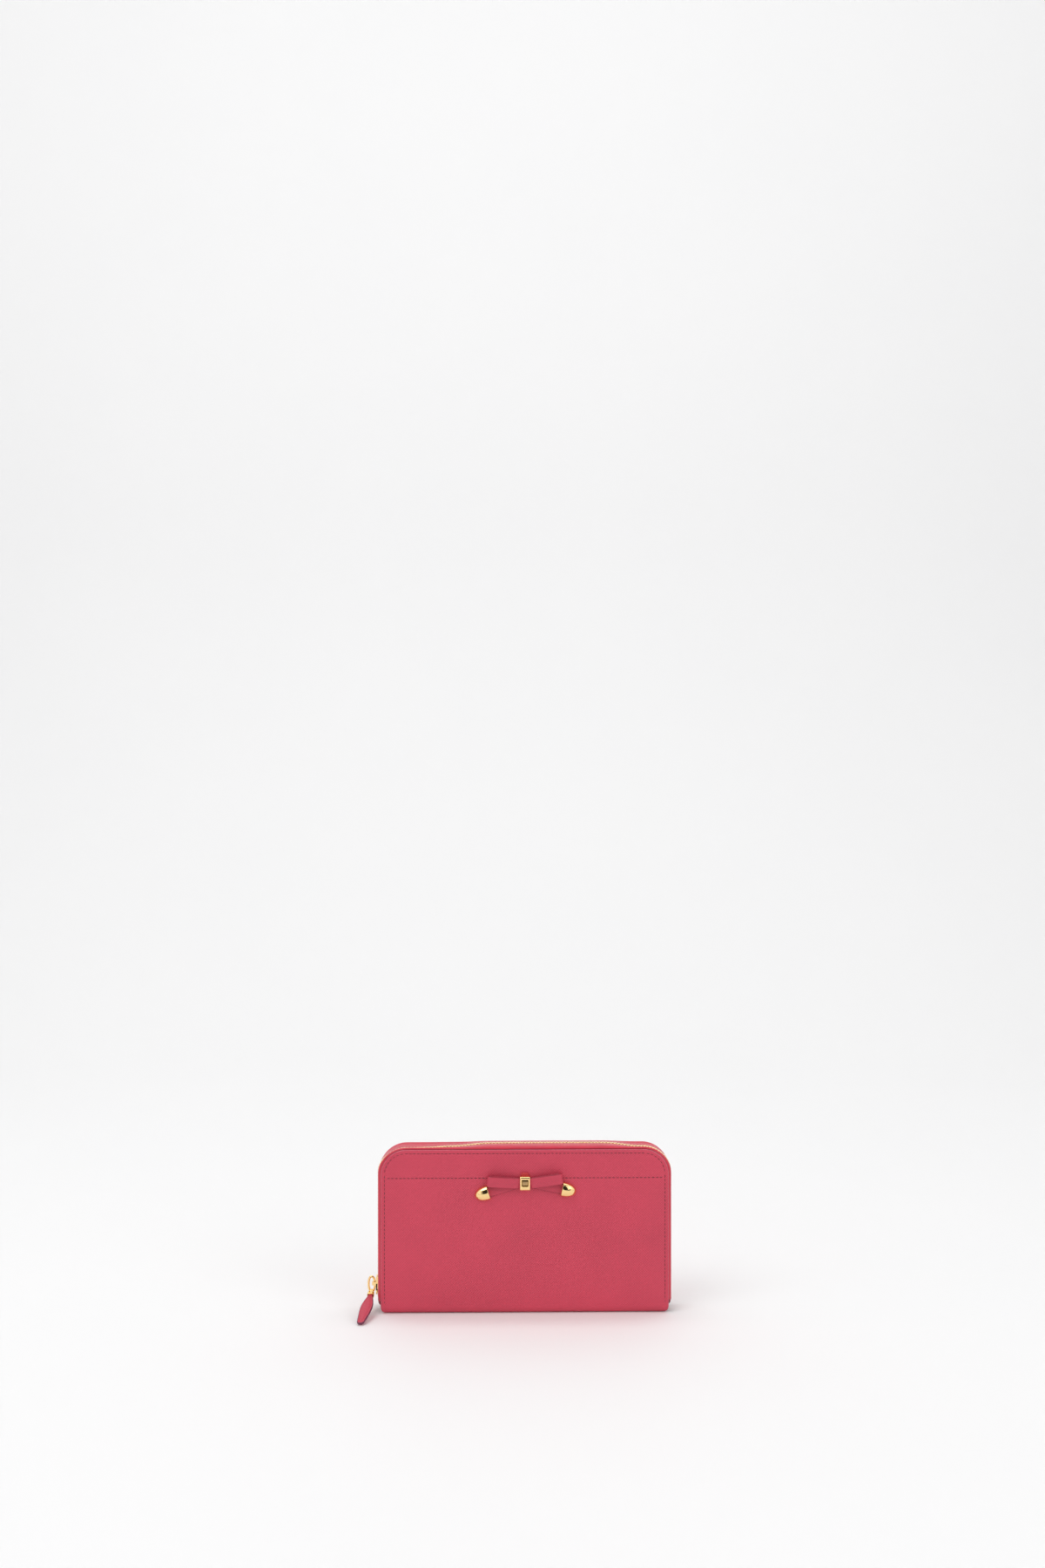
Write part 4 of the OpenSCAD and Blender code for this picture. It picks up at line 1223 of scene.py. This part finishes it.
def build_cards():
    for side, half_name in HALVES:
        body = half_name + "_half"
        node = half_name + "_card_backing"
        panel(half_name + "_backing_cloth", *corners(node), -side, LINING, body, "lining", node,
              edge_mat=EDGE)
        node = half_name + "_card_slots"
        lo, hi = corners(node)
        thick = (hi[1] - lo[1]) / card_rows
        start = (hi if side > 0 else lo)[1]
        for m, hand in SIDES:
            x0, x1 = sorted((m * 1.0 * MM, m * hi[0]))
            for row in range(card_rows):
                y = start - side * row * thick
                y0, y1 = sorted((y, y - side * thick))
                panel(f"{half_name}_slot_{hand}_{row + 1}", (x0, y0, lo[2]),
                      (x1, y1, hi[2] - row * card_step), -side, INNER, body, "inner_leather",
                      node if m < 0 and row == 0 else None, lip=0.14 * MM, edge_mat=EDGE)
    slot_stitches()


def slot_stitches():
    """Rows of stitches down both columns' sides, through the front layer."""
    for side, half_name in HALVES:
        lo, hi = corners(half_name + "_card_slots")
        thick = (hi[1] - lo[1]) / card_rows
        start = (hi if side > 0 else lo)[1]
        spots = []
        for x in (-hi[0] + 1.6 * MM, -2.6 * MM, 2.6 * MM, hi[0] - 1.6 * MM):
            for z in np.arange(lo[2] + 2 * MM, hi[2] - 2 * MM, inner_pitch):
                level = min(card_rows - 1, int((hi[2] - z) / card_step))
                spots.append(((x, start - side * (level + 1) * thick, z), (0, 0, 1), (0, -side, 0)))
        stitch(half_name + "_slot_stitches", INNER_STITCH, spots, THREAD, half_name + "_half")


def gusset_foot(lowest, y):
    """The pleat beside the pocket stops higher up, clear of the pocket's foot when the wallet opens."""
    past = smoothstep((abs(y) - 3.4 * MM) / (0.5 * MM))
    before = 1 - smoothstep((abs(y) - 5.4 * MM) / (0.8 * MM))
    return lowest + 4.5 * MM * past * before


def build_gussets():
    """Pleated leather sides, folded in between the card panels and the coin pocket."""
    lo, hi = corners("right_gusset")
    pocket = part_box("coin_front_wall")[1][0] + 0.3 * MM
    t = 0.35 * MM
    bound = hi[0] - t / 2
    # x, and y in mm: from the cover's lining, round the pleat, to the middle of the pocket's end
    path = [(bound, 9.6), (bound, 7.9), (bound - 1.2 * MM, 7.35), (82 * MM, 6.7), (74.6 * MM, 6.05),
            (73.9 * MM, 5.75), (74.6 * MM, 5.45), (80 * MM, 4.8), (pocket - 0.5 * MM, 4.3),
            (pocket, 3.6), (pocket, 1.8), (pocket, 0)]
    path = [(x, y * MM) for x, y in path]
    path += [(x, -y) for x, y in reversed(path[:-1])]
    fine = []
    for (xa, ya), (xb, yb) in zip(path[:-1], path[1:]):
        for k in range(3):
            fine.append((xa + (xb - xa) * k / 3, ya + (yb - ya) * k / 3))
    fine.append(path[-1])
    outline = thicken(fine, t)
    for m, hand in SIDES:
        rings = []
        for q in np.linspace(0, 1, 26):
            rings.append([(m * x, y, gusset_foot(lo[2], y) * (1 - q) + hi[2] * q) for x, y in outline])
        gusset = swept(hand + "_gusset_leather", rings, INNER)
        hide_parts(hand + "_gusset")
        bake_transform(gusset)


def build_coin_seams():
    """The strip that closes the pocket's two ends and its floor."""
    lo, hi = corners("coin_seams")
    t = 0.45 * MM
    bend = 0.5 * MM
    x1 = hi[0] - t / 2
    z0 = lo[2] + t / 2
    right = [(x, z0) for x in np.linspace(0, x1 - bend, 14)]
    for k in range(1, 7):
        a = pi / 2 * k / 6
        right.append((x1 - bend + bend * sin(a), z0 + bend - bend * cos(a)))
    right += [(x1, z) for z in np.linspace(z0 + bend, hi[2], 14)[1:]]
    line = [(-x, z) for x, z in reversed(right[1:])] + right
    outline = thicken(line, t)
    rings = [[(x, y, z) for x, z in outline] for y in np.linspace(lo[1], hi[1], 6)]
    place(swept("coin_end_strip", rings, INNER), "coin_pocket", "coin_seams")


def build_coin_pocket():
    for side, half_name in HALVES:
        node = f"coin_{half_name}_wall"
        panel("coin_wall_" + half_name, *corners(node), side, INNER, "coin_pocket", "inner_leather",
              node, edge_mat=EDGE)
    build_coin_seams()
    t = 0.4 * MM
    bend = 1.0 * MM
    for side, half_name in HALVES:
        node = f"coin_{half_name}_tape"
        lo, hi = corners(node)
        inner, outer = sorted((abs(lo[1]), abs(hi[1])))
        line = [(outer - t / 2, z) for z in np.linspace(lo[2], hi[2] - 1.2 * MM, 6)]
        for a in np.linspace(0, 90, 8)[1:]:
            c, s = cos(radians(a)), sin(radians(a))
            line.append((outer - t / 2 - bend * (1 - c), hi[2] - t / 2 - bend * (1 - s)))
        line += [(y, hi[2] - t / 2) for y in np.linspace(outer - 1.4 * MM, inner, 4)]
        outline = thicken(line, t)
        rings = [[(x, side * y, z) for y, z in outline] for x in np.linspace(lo[0], hi[0], 40)]
        place(swept("coin_tape_" + half_name, rings, TAPE), "coin_pocket", node)
    build_coin_teeth()
    coin_stitches()


def build_coin_teeth():
    lo, hi = corners("coin_front_teeth")
    tooth = tooth_shape(hi[1], -0.8 * lo[1], 0.9 * (hi[2] - lo[2]), tooth_drawn_len)
    for side, half_name in HALVES:
        node = f"coin_{half_name}_teeth"
        a, b = corners(node)
        count = round((b[0] - a[0] - tooth_len) / tooth_pitch)
        frames = [((a[0] + tooth_len / 2 + k * tooth_pitch, 0, (lo[2] + hi[2]) / 2), (0, 0, 1),
                   (0, -side, 0), (1, 0, 0)) for k in range(count + 1)]
        teeth = instances("coin_teeth_" + half_name, tooth, frames, TEETH)
        place(teeth, "coin_pocket", node)


def coin_stitches():
    lo, hi = corners("coin_front_wall")
    outer = -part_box("coin_front_tape")[0][1]
    spots = [((x, side * outer, hi[2] - 3.4 * MM), (1, 0, 0), (0, side, 0)) for side in (-1, 1)
             for x in np.arange(lo[0] + 3 * MM, hi[0] - 3 * MM, inner_pitch)]
    stitch("coin_stitches", INNER_STITCH, spots, THREAD, "coin_pocket")


def dress_boards():
    for name in ("front_board", "back_board"):
        dress(name, BOARD)


# ---------------------------------------------------------------- stage, light, camera
def build_stage():
    """A wide sheet of white paper that bends up into a wall behind the wallet."""
    paper = Material("stage_paper", (0.93, 0.93, 0.93), 0.7)
    shades = (0.3, (0.926, 0.926, 0.928)), (0.7, (0.934, 0.933, 0.934))
    paper.put("Base Color", paper.ramp(paper.noise(3, 2), *shades))
    floor_end, bend, wall_top = 0.9, 0.8, 3.2
    rows = [(y, 0.0) for y in (-40, -20, -10, -6, -4, *np.linspace(-3.0, floor_end, 14))]
    for a in np.linspace(0, 90, 15)[1:]:
        rows.append((floor_end + bend * sin(radians(a)), bend - bend * cos(radians(a))))
    rows += [(floor_end + bend, z) for z in np.linspace(bend, wall_top, 6)[1:]]
    xs = (-40, -20, -10, -5, *np.linspace(-3, 3, 13), 5, 10, 20, 40)
    verts = [(x, y, z) for y, z in rows for x in xs]
    add_mesh("studio_sweep", verts, grid_faces(len(rows), len(xs)), paper.made)


def area_light(name, location, target, size, power):
    """A soft box at a place, aimed at a target; sizes in metres, power in watts."""
    data = bpy.data.lights.new(name, "AREA")
    data.shape = "RECTANGLE"
    data.size, data.size_y = size
    data.energy = power
    obj = bpy.data.objects.new(name, data)
    obj.location = location
    way = np.array(target) - np.array(location)
    obj.rotation_euler = Vector(way).to_track_quat("-Z", "Y").to_euler()
    bpy.context.scene.collection.objects.link(obj)


def build_light():
    """A bright surround with a darker patch where a photographer would stand, and soft boxes."""
    world = bpy.data.worlds.new("studio")
    bpy.context.scene.world = world
    graph = Graph(world)
    background = graph.nodes["Background"].inputs
    around = graph.add("TexCoord", "Generated", {})
    viewer = (0.09, -0.92, 0.38)
    facing = graph.add("VectorMath", "Value", {0: around, 1: viewer}, operation="DOT_PRODUCT")
    shade = graph.ramp(facing, (0.66, (1.0, 1.0, 1.0)), (0.78, (0.45, 0.44, 0.43)),
                       (0.86, (0.03, 0.025, 0.02)), (0.985, (0.02, 0.018, 0.016)))
    mirrored = graph.add("LightPath", "Is Glossy Ray", {})
    seen = graph.add("Mix", "Result", {}, data_type="RGBA")
    for key, value in (("A", (1, 1, 1, 1)), ("B", shade), ("Factor", mirrored)):
        graph.fill(seen.node.inputs[key], value)
    graph.fill(background["Color"], seen)
    direct, extra = 0.55, 0.5
    graph.fill(background["Strength"], graph.plus(graph.times(mirrored, extra), direct))
    area_light("key", (-0.9, -1.0, 1.7), (0, 0, 0.05), (1.2, 1.2), 11)
    area_light("fill", (1.1, -1.2, 0.9), (0, 0, 0.05), (1.0, 1.0), 5)
    area_light("top", (0, 0.2, 1.9), (0, 0.1, 0), (1.6, 1.0), 3)
    area_light("backdrop", (0, 0.5, 2.9), (0, 1.7, 1.3), (3.4, 0.8), 13)
    area_light("backdrop_low", (0, 0.4, 1.9), (0, 1.7, 0.6), (3.4, 0.5), 3.5)


def build_camera():
    """Almost straight on, from a little above the wallet's top."""
    data = bpy.data.cameras.new("camera")
    data.sensor_width = 36
    data.lens = 40
    camera = bpy.data.objects.new("camera", data)
    yaw = radians(1.0)
    shift, height = -1.4 * MM, 0.349
    reach = half + 1.148
    camera.location = (shift - reach * sin(yaw), -reach * cos(yaw), height)
    camera.rotation_euler = (radians(90), 0, -yaw)
    bpy.context.scene.collection.objects.link(camera)
    bpy.context.scene.camera = camera
    bpy.context.scene.view_settings.view_transform = "Standard"


build_camera()
build_outer_leather()
build_stitching()
build_tapes()
build_teeth()
build_end_patches()
build_loops()
build_tails()
ribbon_stitches()
build_caps()
build_keeper()
build_keeper_window()
build_strap()
build_ring()
build_tab()
build_clasp()
dress_metal_nodes()
build_linings()
build_cards()
build_gussets()
build_coin_pocket()
dress_boards()
build_stage()
build_light()
